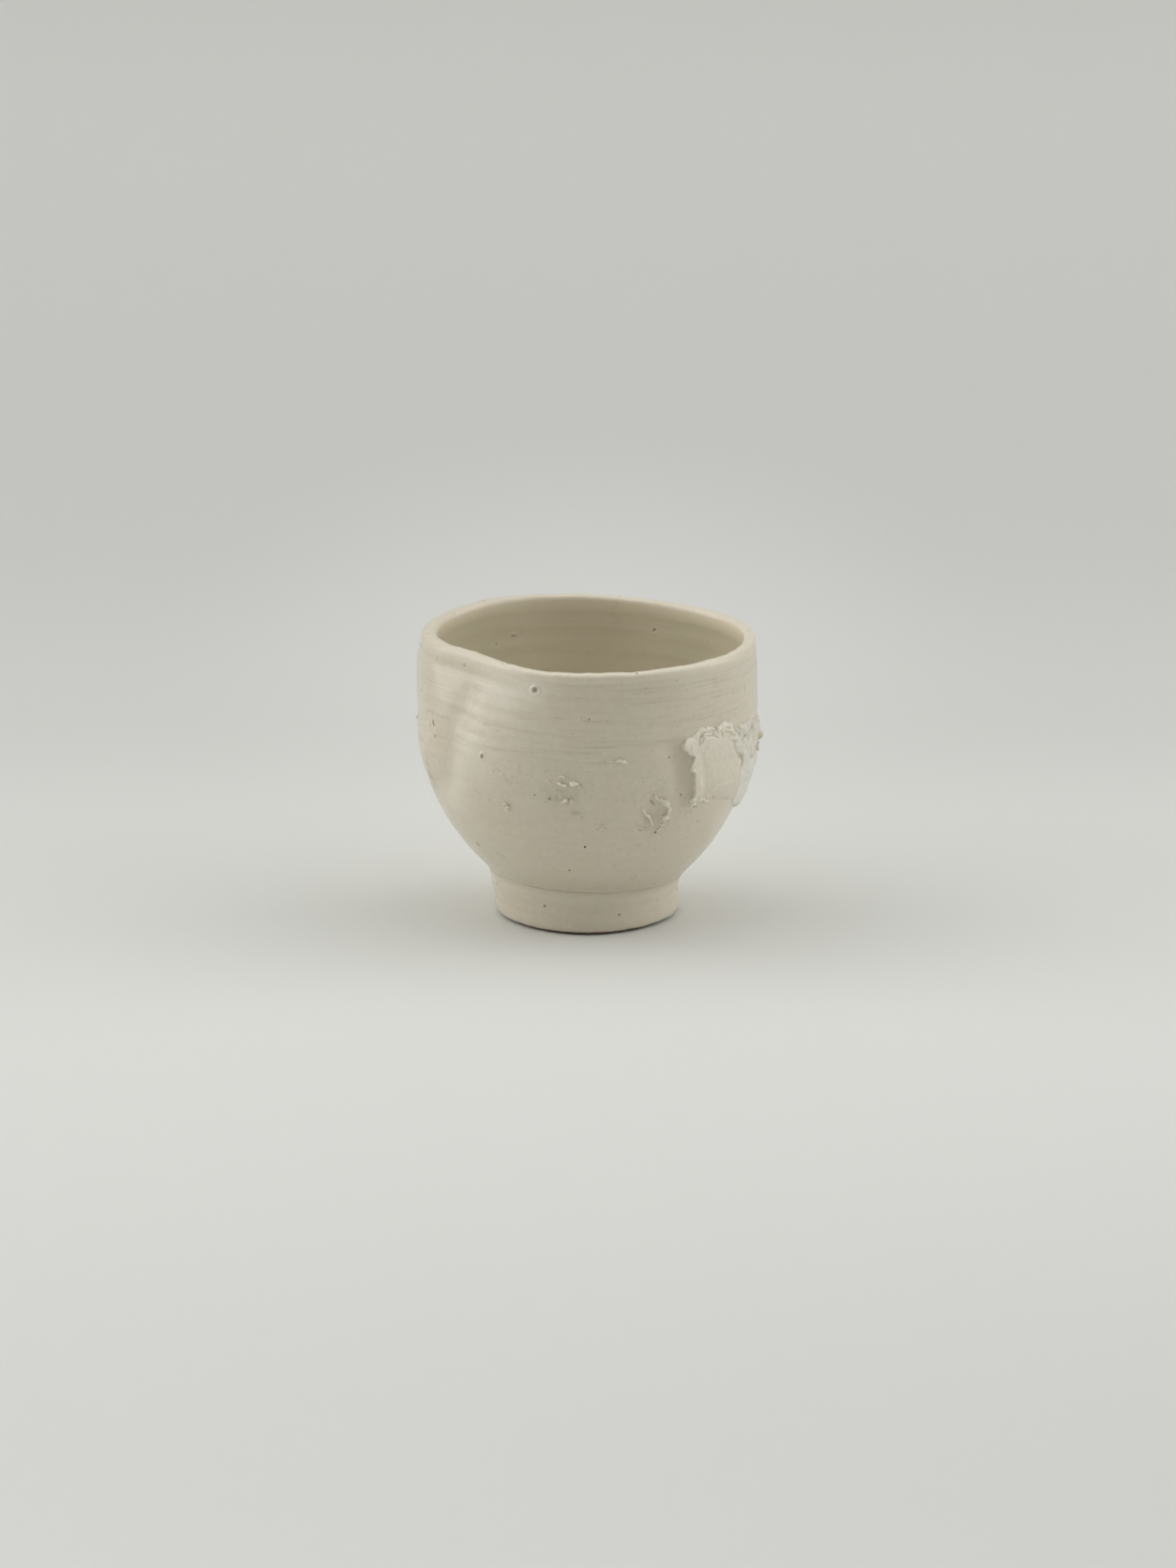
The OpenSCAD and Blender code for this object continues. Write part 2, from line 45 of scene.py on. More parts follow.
# Sizes of the cup, close to those of its solids
CUP_HEIGHT = 67
BOWL_RADIUS = 40
SHOULDER_HEIGHT = 52.5
NECK_RADIUS = 39.2
WALL = 3.6
LIP_THICKNESS = 3
FLOOR_THICKNESS = 4.7
FLARE_ANGLE = 42
FLARE_RUN = 14.7
BELLY_RUN = 18.6
FLOOR_RUN = 27
LIP_WAVE = 0.3
LIP_WAVE_ANGLE = 115
LIP_TWIST = 0.2
PRESS_ANGLE = 219
PRESS_DEPTH = 5.2
PRESS_SPREAD = 27
PRESS_REACH = 30
PRESS_LIFT = 0.4
FOOT_HEIGHT = 10.7
FOOT_TOP_RADIUS = 22.4
FOOT_LOW_RADIUS = 21.4
FOOT_BEVEL = 2.1
FOOT_LAND = 3.4
RECESS_TAPER = 1.4
GOUGE_ANGLE = 295.5
GOUGE_HEIGHT = 33
SLAB_ANGLE = 323
SLAB_HEIGHT = 41
FLAP_ANGLE = 350
FLAP_HEIGHT = 38.5
LUMP_PLACE = (1.0, 42.4)
SMEAR_PLACE = (197, 44.2)

# The fold below the press: the angles of its middle at heights, and the heights where it starts and ends
FOLD_DEPTH = 0.98
FOLD_WIDTH = 5.0
FOLD_HEIGHTS = (33, 38, 46, 50, 54, 60)
FOLD_ANGLES = (207.5, 213.5, 215.2, 217.2, 218.8, 221)
FOLD_START = (29, 38)
FOLD_END = (51, 60)

# Soft marks in the outer face: angle, height, depth, width and height
GOUGE = (294.8, 32.6, 1.0, 6.5, 10)
DENT = (220.5, 58.5, 0.45, 8, 7)

# The wall banks up to the slab's left rim: the rim's place at heights from the slab's middle
BANK_HEIGHTS = (-7, -3.5, 0, 3, 6, 9)
BANK_PLACES = (-9.8, -9.5, -10.3, -11.2, -12.4, -13.8)
BANK_SHADE_WIDTHS = (2.6, 4.6, 5.0, 4.8, 4.2, 2.2)
BANK_RISE = 0.75
BANK_WIDTH = 1.6
BANK_SHADE = 0.23

# The hollow beside the bank: its depth, how far left of the rim it lies, and its half width
BANK_HOLLOW = (0.5, 3.8, 2.4)

# Where the wall rolls out at one height and in at another: angle, half width in degrees and how far,
# then the height and half height of both
WALL_ROLLS = ((205, 32, 0.18, 65.3, 1.5, 62.4, 1.2), (178, 15, 0.5, 61, 4, 48.5, 5.5))

# The throwing rings of the outer face, and the heights between which they start
RING_RISE = 0.035
RING_PITCH = 3.1
RING_START = (20, 34)

# Random unevenness in layers: rise, size of the bumps and seed
WALL_UNEVEN = ((0.10, 15, 3), (0.05, 6, 4))
LIP_UNEVEN = ((0.07, 7, 21), (0.05, 2.6, 22))
FOOT_WORN = ((0.18, 9, 51), (0.08, 2.5, 52))

LIP_ROUND = LIP_THICKNESS / 2
LIP_BASE = CUP_HEIGHT - LIP_ROUND
INSIDE_RADIUS = BOWL_RADIUS - WALL
INSIDE_FLOOR = FOOT_HEIGHT + FLOOR_THICKNESS
DEGREES_PER_MM = 360 / (2 * math.pi * BOWL_RADIUS)

# The bowl sits a little askew on its foot, lower at the right, and its rim leans a little to the right
SEAM_TILT = 0.85
SEAM_TILT_TOP = 45
SEAM_ROUND = 2.8
SEAM_DROP = 0.1
FOOT_SET_BACK = 0.3
FOOT_SHIFT = 0.3
RIM_LEAN = 0.4

# Fine lines along the seam: height from it, rise and half width
SEAM_LINES = ((-1.9, 0.07, 0.9), (0.2, -0.05, 0.9))

# The rim is lower at the back, and thicker at the left: angle, how far, and half width in degrees
RIM_DIP = (60, 1.0, 42)
RIM_THICKER = (186, 0.7, 42)

# The foot's front edge is worn back less: angle, how far, and half width in degrees
FOOT_FORWARD = (272, 1.7, 34)

# How far the foot's worn edge stands off the table, all round and further at some angles
FOOT_GAP = 0.20
FOOT_GAPS = ((268, 0.48, 32), (218, 0.28, 22), (315, 0.32, 25))


def at_angle(degrees):
    return np.cos(np.radians(degrees)), np.sin(np.radians(degrees))


FLARE = at_angle(FLARE_ANGLE)
LOW_CURVE = np.array([[FOOT_TOP_RADIUS, FOOT_HEIGHT],
                      [FOOT_TOP_RADIUS + FLARE_RUN * FLARE[0], FOOT_HEIGHT + FLARE_RUN * FLARE[1]],
                      [BOWL_RADIUS, SHOULDER_HEIGHT - BELLY_RUN],
                      [BOWL_RADIUS, SHOULDER_HEIGHT]])
HIGH_CURVE = np.array([[BOWL_RADIUS, SHOULDER_HEIGHT],
                       [BOWL_RADIUS, SHOULDER_HEIGHT + (LIP_BASE - SHOULDER_HEIGHT) * 0.4],
                       [NECK_RADIUS + (BOWL_RADIUS - NECK_RADIUS) * 0.35,
                        LIP_BASE - (LIP_BASE - SHOULDER_HEIGHT) * 0.3],
                       [NECK_RADIUS, LIP_BASE]])
INSIDE_CURVE = np.array([[NECK_RADIUS - LIP_THICKNESS, LIP_BASE],
                         [INSIDE_RADIUS, SHOULDER_HEIGHT - BELLY_RUN * 0.45],
                         [FLOOR_RUN + 1.5, INSIDE_FLOOR],
                         [0, INSIDE_FLOOR]])


def on_curve(points, t):
    """Points of a cubic curve at shares t of its way."""
    t = np.asarray(t)[:, None]
    return ((1 - t) ** 3 * points[0] + 3 * (1 - t) ** 2 * t * points[1]
            + 3 * (1 - t) * t ** 2 * points[2] + t ** 3 * points[3])


CURVE_STEPS = np.linspace(0, 1, 800)
WALL_TABLE = np.vstack([on_curve(LOW_CURVE, CURVE_STEPS), on_curve(HIGH_CURVE, CURVE_STEPS)[1:]])


def hump(distance, width):
    """1 in the middle and near 0 beyond its width."""
    return np.exp(-(distance / width) ** 2)


def step(value, low, high):
    """A smooth step from 0 at low to 1 at high."""
    s = np.clip((value - low) / (high - low), 0, 1)
    return s * s * (3 - 2 * s)


def turn(a, b):
    """How far angle a lies from angle b, between -180 and 180 degrees."""
    return (a - b + 180) % 360 - 180


def blend_max(a, b, width):
    """The larger of two values, with the corner between them rounded."""
    near = np.maximum(width - np.abs(a - b), 0) / width
    return np.maximum(a, b) + near ** 2 * width / 4


LATTICE = 64


def rough(x, y, size, seed, wrap=LATTICE):
    """Smooth random heights between -1 and 1, with bumps of a given size. Repeats after wrap bumps."""
    lattice = np.random.default_rng(seed).uniform(-1, 1, (wrap, LATTICE))
    x = np.asarray(x) / size
    y = np.asarray(y) / size
    column = np.floor(x).astype(int)
    row = np.floor(y).astype(int)
    right = x - column
    up = y - row
    right = right ** 3 * (right * (right * 6 - 15) + 10)
    up = up ** 3 * (up * (up * 6 - 15) + 10)
    c0, c1 = column % wrap, (column + 1) % wrap
    r0, r1 = row % LATTICE, (row + 1) % LATTICE
    low = lattice[c0, r0] * (1 - right) + lattice[c1, r0] * right
    high = lattice[c0, r1] * (1 - right) + lattice[c1, r1] * right
    return low * (1 - up) + high * up


def rough_round(a, z, size, seed):
    """Random heights that meet where they go all the way round the cup."""
    count = max(4, round(360 / (size * DEGREES_PER_MM)))
    return rough((a % 360) / 360 * count, z / size, 1, seed, count)


def uneven(a, z, layers):
    """Random heights all round, in layers of a rise, a size of bumps and a seed."""
    return sum(rise * rough_round(a, z, size, seed) for rise, size, seed in layers)


def round_hump(a, shape):
    """A hump over part of the way round: its angle, how far it rises, and its half width in degrees."""
    angle, rise, wide = shape
    return rise * hump(turn(a, angle), wide)


def spot(a, z, angle, height, across, tall):
    """1 at a place of the wall and near 0 beyond a half width and half height in millimetres."""
    return hump(turn(a, angle) / DEGREES_PER_MM, across) * hump(z - height, tall)


def spiral(way, pitch, a, hand=1):
    """A wave along a way, that winds once round the cup in each pitch."""
    return np.sin(2 * math.pi * (way / pitch + hand * a / 360))


# The shape of the thrown wall

def pressed(a, z):
    """Shape given to the wall by hand, the same on its outer and inner face."""
    press = (-PRESS_DEPTH * hump(turn(a, PRESS_ANGLE), PRESS_SPREAD)
             * step(z, CUP_HEIGHT - PRESS_REACH, CUP_HEIGHT))
    middle = np.interp(z, FOLD_HEIGHTS, FOLD_ANGLES)
    fold = (-FOLD_DEPTH * hump(turn(a, middle) / DEGREES_PER_MM, FOLD_WIDTH)
            * step(z, *FOLD_START) * (1 - step(z, *FOLD_END)))
    lean = RIM_LEAN * at_angle(a)[0] * step(z, SHOULDER_HEIGHT, CUP_HEIGHT)
    return press + fold + lean


def lift(a, z):
    """How far the lip is lifted or lowered, which fades down to the belly."""
    wave = LIP_WAVE * np.cos(np.radians(a - LIP_WAVE_ANGLE))
    twist = LIP_TWIST * np.cos(np.radians(2 * (a - LIP_WAVE_ANGLE)))
    raised = wave + twist - round_hump(a, RIM_DIP) + round_hump(a, (PRESS_ANGLE, PRESS_LIFT, PRESS_SPREAD))
    return raised * step(z, SHOULDER_HEIGHT - BELLY_RUN, CUP_HEIGHT)


def cut(a, z, mark):
    """Depth of a soft mark in the outer face."""
    angle, height, depth, width, tall = mark
    return -depth * spot(a, z, angle, height, width / 2, tall / 2)


def seam_height(a):
    """Height of the seam between the bowl and its foot."""
    return FOOT_HEIGHT - SEAM_DROP - SEAM_TILT * at_angle(a)[0]


def side_radius(a, z):
    """Outer radius of the foot's side and the wall above it, with the seam rounded."""
    tilt = SEAM_TILT * at_angle(a)[0] * (1 - step(z, FOOT_HEIGHT, SEAM_TILT_TOP))
    low = z + tilt
    below = FOOT_TOP_RADIUS - (FOOT_HEIGHT - low) / math.tan(math.radians(FLARE_ANGLE))
    wall = np.where(low < FOOT_HEIGHT, below, np.interp(low, WALL_TABLE[:, 1], WALL_TABLE[:, 0]))
    top = FOOT_TOP_RADIUS - FOOT_SET_BACK - FOOT_SHIFT * at_angle(a)[0]
    foot = FOOT_LOW_RADIUS + (top - FOOT_LOW_RADIUS) * step(z, 1.5, FOOT_HEIGHT)
    up = z - seam_height(a)
    lines = sum(rise * hump(up - place, wide) for place, rise, wide in SEAM_LINES)
    return blend_max(wall, foot, SEAM_ROUND) + lines


def bank_distance(a, z):
    """How far a place lies left of the slab's rim, and how much it counts above and below it."""
    up = z - SLAB_HEIGHT
    left = np.interp(up, BANK_HEIGHTS, BANK_PLACES) - turn(a, SLAB_ANGLE) / DEGREES_PER_MM
    return left, step(up, -9.5, -5.5) * (1 - step(up, 7.5, 11.5))


def banked(a, z):
    """The bank and the hollow left of the slab."""
    left, counts = bank_distance(a, z)
    outside = BANK_RISE * np.exp(-np.maximum(left, 0) / BANK_WIDTH)
    bank = np.where(left > 0, outside, BANK_RISE * (1 - step(-left, 0, 4)))
    bank = bank * (1 - 0.65 * step(z - SLAB_HEIGHT, 2, 7))
    depth, place, wide = BANK_HOLLOW
    return (bank - depth * hump(left - place, wide)) * counts


def outer_radius(a, z):
    """Outer radius of the bowl, without its glaze pits."""
    rings = RING_RISE * spiral(z, RING_PITCH, a) * (0.6 + 0.6 * rough_round(a, z, 18, 5))
    made = uneven(a, z, WALL_UNEVEN) + rings * step(z, *RING_START)
    radius = side_radius(a, z) + pressed(a, z) + (cut(a, z, GOUGE) + cut(a, z, DENT) + banked(a, z))
    for angle, wide, far, out, out_tall, back, back_tall in WALL_ROLLS:
        roll = far * hump(turn(a, angle), wide) * (hump(z - out, out_tall) - hump(z - back, back_tall))
        radius = radius + roll
    return radius + made * step(z, FOOT_HEIGHT + 1, FOOT_HEIGHT + 6)


def wall_place(a, z, off=0):
    """Places that stand a given distance off the outer face, in millimetres."""
    radius = outer_radius(a, z) + off
    c, s = at_angle(a)
    return np.stack([radius * c, radius * s, z + lift(a, z)], -1)


# Marks in the glaze: angle, height, half width, half height, tilt in degrees, depth, rise of the ring
# round it, and how dark it is
OUTER_PITS = (
    (252.4, 62.9, 0.78, 0.76, 0, 0.45, 0.22, 0.40),
    (232.1, 45.5, 0.42, 0.60, 8, 0.40, 0.14, 0.50),
    (271.1, 56.8, 0.30, 0.30, 0, 0.20, 0.03, 0.45),
    (269.6, 24.7, 0.36, 0.36, 0, 0.30, 0.04, 1.0),
    (262.4, 17.7, 0.38, 0.30, 0, 0.30, 0.05, 0.6),
    (216.5, 21.2, 0.75, 0.30, -38, 0.35, 0.06, 1.0),
    (299.0, 46.3, 0.26, 0.28, 0, 0.25, 0.04, 0.8),
    (305.3, 36.4, 0.26, 0.26, 0, 0.25, 0.04, 0.7),
    (303.0, 38.0, 0.20, 0.20, 0, 0.15, 0.02, 0.5),
    (215.0, 64.1, 0.34, 0.62, 8, 0.18, 0.06, 0.35),
    (257.4, 37.3, 0.26, 0.40, -10, 0.20, 0.08, 0.55),
    (252.2, 38.0, 0.30, 0.30, 0, 0.22, 0.06, 0.5),
    (203.4, 49.3, 0.34, 1.15, 38, 0.35, 0.08, 0.75),
    (205.2, 46.4, 0.26, 0.70, 34, 0.25, 0.06, 0.6),
    (214.6, 47.2, 0.16, 0.16, 0, 0.12, 0.02, 0.5),
    (208.2, 51.2, 0.25, 0.25, 0, 0.12, 0.05, 0.4),
    (233.9, 35.1, 0.22, 0.22, 0, 0.12, 0.02, 0.35),
    (297.3, 27.5, 0.36, 0.30, 0, 0.30, 0.04, 0.9),
    (290.2, 28.6, 0.90, 0.20, -14, 0.20, 0.05, 0.25),
    (266.4, 33.9, 1.30, 0.32, 12, 0.10, 0.03, 0.12),
    (268.6, 32.7, 0.22, 0.22, 0, 0.14, 0.02, 0.45),
    (272.5, 41.1, 0.18, 0.18, 0, 0.12, 0.02, 0.4),
    (311.9, 32.7, 0.40, 0.28, 30, 0.25, 0.05, 0.8),
    (294.1, 35.5, 1.50, 0.20, -43, 0.22, 0.05, 0.35),
    (316.6, 28.2, 0.25, 0.45, -20, 0.12, 0.02, 0.4),
    (329.3, 21.1, 0.40, 0.25, 25, 0.12, 0.02, 0.4),
    (152.0, 31.0, 0.34, 0.34, 0, 0.25, 0.06, 0.8),
    (118.0, 54.5, 0.50, 0.48, 0, 0.40, 0.14, 0.7),
    (96.0, 22.5, 0.30, 0.30, 0, 0.25, 0.04, 0.9),
    (70.0, 43.0, 0.30, 0.42, 15, 0.25, 0.08, 0.6),
    (41.0, 58.2, 0.26, 0.26, 0, 0.20, 0.03, 0.7),
    (28.0, 27.0, 0.34, 0.30, 0, 0.25, 0.05, 0.8),
    (134.0, 17.5, 0.28, 0.28, 0, 0.20, 0.04, 0.7),
    (182.5, 47.2, 0.75, 0.55, 0, -0.45, 0, 0.1),
)
# The lip's have the way up and over the lip in place of a height
LIP_PITS = (
    (287.6, 1.95, 0.34, 0.36, 0, 0.22, 0.03, 1.0),
    (236.5, 2.0, 0.22, 0.28, 0, 0.15, 0.02, 0.8),
    (130.0, 2.4, 0.26, 0.26, 0, 0.18, 0.02, 0.7),
)
INNER_PITS = (
    (63.5, 60.1, 0.46, 0.46, 0, 0.30, 0.05, 0.6),
    (118.4, 58.2, 0.95, 0.36, 0, -0.25, 0.03, 0.15),
    (126.5, 56.5, 0.40, 0.40, 0, 0.25, 0.04, 0.40),
    (38.0, 59.9, 0.26, 0.26, 0, 0.20, 0.03, 0.5),
    (200.0, 40.0, 0.34, 0.34, 0, 0.25, 0.05, 0.8),
    (302.0, 33.0, 0.40, 0.36, 0, 0.30, 0.08, 0.8),
    (255.0, 52.0, 0.28, 0.28, 0, 0.22, 0.04, 0.7),
)
FOOT_PITS = (
    (244.1, 6.5, 0.34, 0.34, 0, 0.25, 0.04, 0.7),
    (290.2, 4.7, 0.36, 0.34, 0, 0.30, 0.14, 0.8),
    (171.0, 6.0, 0.30, 0.30, 0, 0.25, 0.05, 0.8),
    (66.0, 4.2, 0.26, 0.30, 0, 0.20, 0.04, 0.7),
)

# Darker patches of wall, partly stains and partly painted shade in the dent, the fold and the gouge: angle,
# height, half width, half height and strength
STAINS_AND_SHADES = (
    (219.5, 57.5, 3.4, 3.2, 0.14),
    (213.5, 46.0, 2.4, 8.0, 0.12),
    (196.0, 35.8, 3.0, 4.2, 0.85),
    (266.4, 33.8, 2.2, 0.9, 0.28),
    (262.5, 39.0, 4.5, 3.4, 0.20),
    (293.8, 31.5, 2.6, 4.0, 0.30),
    (305.0, 45.4, 1.8, 1.8, 0.25),
    (240.9, 34.6, 1.5, 1.2, 0.30),
)
# Paler patches, partly thick glaze and partly painted highlight, in the same way
PALE_PATCHES = (
    (241.5, 61.2, 8.0, 3.8, 0.40),
    (252.4, 62.9, 2.4, 2.2, 0.55),
    (221.0, 40.0, 4.5, 9.0, 0.20),
    (230.5, 44.0, 7.0, 7.0, 0.42),
    (213.0, 32.5, 6.0, 5.0, 0.34),
    (336.0, 26.0, 5.0, 8.0, 0.15),
    (186.0, 60.0, 4.0, 6.0, 0.12),
)
# Roughened patches of wall: angle, height, half width, half height, rise, grain and seed
SCUFFS = (
    (251, 41.5, 11, 3.2, 0.07, 1.1, 41),
    (262, 38.0, 5, 4.0, 0.08, 0.8, 42),
    (276, 46.4, 4, 0.9, 0.10, 0.6, 43),
    (275.8, 30.4, 1.6, 1.8, 0.10, 0.5, 44),
    (289, 38.5, 7, 4.0, 0.07, 1.3, 45),
    (196, 40.0, 7, 6.0, 0.10, 1.6, 46),
    (306, 30.5, 6, 2.5, 0.06, 1.0, 47),
)
# Where the wall's grid is finer for them: angle, height, half width and half height
FINE_AREAS = ((262.5, 39.0, 4.2, 4.2), (293.8, 32.0, 3.6, 3.6), (275.8, 30.2, 1.4, 1.4), (194.0, 37.0, 3, 3))
# A spot of deep green glaze: angle, height, half width and strength
GREEN_SPOT = (257.4, 37.4, 0.9, 0.45)
# How much less thin glaze and painted highlight the lip has along its back left: angle, share, and half
# width in degrees
LIP_THIN_AND_HIGHLIGHT_LESS = (135, 0.4, 80)

# Thin lines that the thrower's fingers left, each as places of angle and height
THROWN_LINES = (
    ((194, 58.2), (231, 57.9), (249, 57.6), (261, 56.9), (271, 56.3), (284, 56.0), (301, 56.4), (321, 57.0)),
    ((203, 54.2), (216, 54.2), (229, 53.1), (238, 52.0), (251, 50.9), (264, 50.2), (277, 50.1), (296, 50.6)),
    ((234, 47.9), (246, 47.4), (258, 47.0), (274, 46.3), (283, 46.2)),
    ((283, 60.2), (305, 59.5), (329, 58.0), (352, 57.2)),
    ((268, 62.0), (292, 62.4), (330, 61.6), (8, 61.8)),
    ((222, 60.6), (240, 60.2), (258, 59.6)),
    ((300, 53.8), (318, 54.4), (345, 54.0), (20, 53.6)),
    ((20, 47.0), (60, 46.4), (110, 46.8), (150, 46.1)),
    ((5, 58.6), (60, 58.0), (120, 58.4), (175, 57.9)),
    ((40, 52.6), (90, 52.9), (160, 52.2)),
    ((30, 38.0), (80, 37.4), (140, 37.8)),
    ((226, 41.0), (244, 40.6)),
    ((274.7, 31.1), (277.2, 29.6)),
    ((274.0, 29.2), (276.0, 30.8)),
    ((285.5, 31.6), (292.5, 28.9)),
    ((287.6, 30.4), (291.6, 28.4)),
    ((264.0, 48.6), (272.0, 48.9)),
)
# A distance beyond the reach of any thrown line, and how fast the lines fade past their ends
NO_LINE = 9.0
LINE_FADE = 0.12


def pit_spread(a, z, pit, degrees_per_mm=DEGREES_PER_MM):
    """How far a place lies from a pit's middle, where 1 is the pit's edge."""
    angle, height, across, tall, tilt = pit[:5]
    c, s = at_angle(tilt)
    x = turn(a, angle) / degrees_per_mm
    y = z - height
    return np.hypot((x * c + y * s) / across, (y * c - x * s) / tall)


def pitted(a, z, pits, degrees_per_mm=DEGREES_PER_MM):
    """Depth, darkness and paleness that a set of pits gives to places: a hole within a raised ring, painted
    pale partly as thick glaze and partly as a painted highlight.
    """
    depth = np.zeros(np.shape(a))
    dark = np.zeros(np.shape(a))
    pale = np.zeros(np.shape(a))
    for pit in pits:
        hole, ring, shade = pit[5:]
        far = pit_spread(a, z, pit, degrees_per_mm)
        depth += ring * hump(far - 1.35, 0.32) - hole * (1 - step(far, 0.4, 1.1))
        dark = np.maximum(dark, shade * (1 - step(far, 0.55, 1.05)))
        pale = np.maximum(pale, min(1, ring * 6) * hump(far - 1.38, 0.40))
    return depth, dark, pale


def line_distance(a, z):
    """Distance in millimetres from the nearest thrown line, which fades at its ends."""
    nearest = np.full(np.shape(a), NO_LINE)
    for line in THROWN_LINES:
        start = line[0][0]
        along = [turn(p[0], start) % 360 for p in line]
        heights = [p[1] for p in line]
        way = turn(a, start) % 360
        beyond = np.maximum(0, way - along[-1])
        beyond = np.minimum(beyond, 360 - way) / DEGREES_PER_MM
        far = np.abs(z - np.interp(way, along, heights)) + LINE_FADE * beyond
        nearest = np.minimum(nearest, far)
    return nearest


# Meshes

def make_piece(name, points, faces, marks=None):
    """A smooth mesh from places in millimetres, with named values at its points for its material."""
    mesh = bpy.data.meshes.new(name)
    mesh.from_pydata((np.asarray(points) * MM).tolist(), [], faces)
    mesh.update()
    mesh.polygons.foreach_set("use_smooth", [True] * len(mesh.polygons))
    for key, values in (marks or {}).items():
        layer = mesh.attributes.new(key, "FLOAT", "POINT")
        layer.data.foreach_set("value", np.asarray(values, np.float32))
    piece = bpy.data.objects.new(name, mesh)
    bpy.context.scene.collection.objects.link(piece)
    return piece


def fine_grid(columns, rows, fine, parts):
    """Column and row places, and faces, of a grid that closes round its columns.

    The cells marked fine are cut into parts times parts, and their neighbours take in the extra points.
    """
    place = []
    known = {}

    def point(x, y):
        key = (round(x % 360, 6), round(y, 7))
        if key not in known:
            known[key] = len(place)
            place.append((x, y))
        return known[key]

    for y in rows:
        for x in columns:
            point(x, y)
    edges = np.append(columns, columns[0] + 360)
    faces = []
    for i in range(len(rows) - 1):
        for j in range(len(columns)):
            x0, x1, y0, y1 = edges[j], edges[j + 1], rows[i], rows[i + 1]
            if fine[i, j]:
                ys = np.linspace(y0, y1, parts + 1)
                cell = [[point(x, y) for x in np.linspace(x0, x1, parts + 1)] for y in ys]
                faces += [(cell[p][q], cell[p][q + 1], cell[p + 1][q + 1], cell[p + 1][q])
                          for p in range(parts) for q in range(parts)]
                continue
            below = i > 0 and fine[i - 1, j]
            above = i + 2 < len(rows) and fine[i + 1, j]
            sides = ((x0, y0, x1, y0, below), (x1, y0, x1, y1, fine[i, (j + 1) % len(columns)]),
                     (x1, y1, x0, y1, above), (x0, y1, x0, y0, fine[i, j - 1]))
            face = []
            for x, y, to_x, to_y, cut_up in sides:
                shares = [k / parts for k in range(parts if cut_up else 1)]
                face += [point(x + (to_x - x) * s, y + (to_y - y) * s) for s in shares]
            faces.append(tuple(face))
    return np.array(place), faces


def ways_along(points):
    """How far along a line each of its points lies."""
    return np.append(0, np.cumsum(np.linalg.norm(np.diff(points, axis=0), axis=1)))


def even_places(table, spacing):
    """Shares of the way along a table of points, about evenly spaced in millimetres."""
    lengths = ways_along(table)
    count = max(2, round(lengths[-1] / spacing) + 1)
    return np.interp(np.linspace(0, lengths[-1], count), lengths, np.linspace(0, 1, len(table)))


# The angles between which a grid's columns are closer together, as the photograph shows that side
FRONT_START, FRONT_END = 175, 12


def front_columns(front_spacing, back_spacing):
    """Angles of a grid's columns all round, from the left side on."""
    places = [180.0]
    while places[-1] < 540:
        angle = places[-1] % 360
        front = FRONT_START <= angle or angle < FRONT_END
        places.append(places[-1] + (front_spacing if front else back_spacing) * DEGREES_PER_MM)
    return 180 + (np.array(places[:-1]) - 180) * 360 / (places[-1] - 180)


# The bowl is one skin: 0 to 1 is its underside, then its outer wall, its lip and its inside
OUTSIDE, LIP, INSIDE = 1, 2, 3
UNDERSIDE_RADII = (0.0, 4, 8, 12, 16, 19.5, 21.5)
OUTER_TABLE = WALL_TABLE[WALL_TABLE[:, 1] <= LIP_BASE]
OUTER_SHARES = np.linspace(0, 1, len(OUTER_TABLE))
OUTER_RISES = (OUTER_TABLE[:, 1] - FOOT_HEIGHT) / (LIP_BASE - FOOT_HEIGHT)
INNER_TABLE = on_curve(INSIDE_CURVE, CURVE_STEPS)
INNER_SHARES = np.linspace(0, 1, len(INNER_TABLE))
LIP_WAY = math.pi * LIP_ROUND
LIP_SQUARE = 0.75

# The bowl's grid: spacing of columns in front and behind, and of rows outside and inside
BOWL_SPACING = (0.62, 1.4)
OUTER_SPACING = 0.62
INNER_SPACING = 1.3
UNDERSIDE_STEPS = 12
LIP_STEPS = 12
# Cells near a pit are cut into this many parts each way, up to this many half widths from its middle
FINE_PARTS = 4
PIT_REACH = 2.1

# What the skin tells its glaze at each point, with the value where nothing else is said
PLAIN_MARKS = {"dark": 0, "pale": 0, "thin": 0, "line": NO_LINE, "inside": 0, "aside": 0, "stain": 0,
               "green": 0, "scuff": 0, "streaked": 0}


def patched(a, z, patches):
    """How strongly a set of soft patches marks places of the outer wall."""
    return sum(strength * spot(a, z, *patch) for *patch, strength in patches)


def stains_and_shade(a, z):
    """How stained and shaded the outer wall is, darkest in the seam: stains, a painted shade in the band
    left of the slab's rim, and along the seam a band that is partly pooled glaze and partly painted shade.
    """
    patches = patched(a, z, STAINS_AND_SHADES) * (0.75 + 0.6 * rough_round(a, z, 1.1, 171))
    left, counts = bank_distance(a, z)
    wide = np.interp(z - SLAB_HEIGHT, BANK_HEIGHTS, BANK_SHADE_WIDTHS)
    wide = wide + 0.8 * rough_round(a, z, 2.5, 174)
    # Painted shade in the band left of the slab's rim
    shade = BANK_SHADE * (1 - step(left, wide - 3.6, wide + 1.6)) * counts * (left > -1)
    return np.clip(patches + shade + 0.10 * hump(z - seam_height(a) - 0.6, 2.2), 0, 1)


def scuff_marks(a, z):
    """How scuffed the outer wall is."""
    patches = sum(spot(a, z, *scuff[:4]) for scuff in SCUFFS)
    return np.clip(patches * (0.7 + 0.9 * rough_round(a, z, 2.3, 173)), 0, 1)


def underside_places(a, share):
    """Radius, height and marks of the bowl's underside, within the foot ring."""
    radius = np.interp(share, np.linspace(0, 1, len(UNDERSIDE_RADII)), UNDERSIDE_RADII)
    meets = step(radius, 17.5, UNDERSIDE_RADII[-1])
    ridge = 0.12 * spiral(radius, 2.6, a) * step(radius, 1, 4)
    return radius, FOOT_HEIGHT * (1 - meets) + seam_height(a) * meets + ridge * (1 - meets), {}


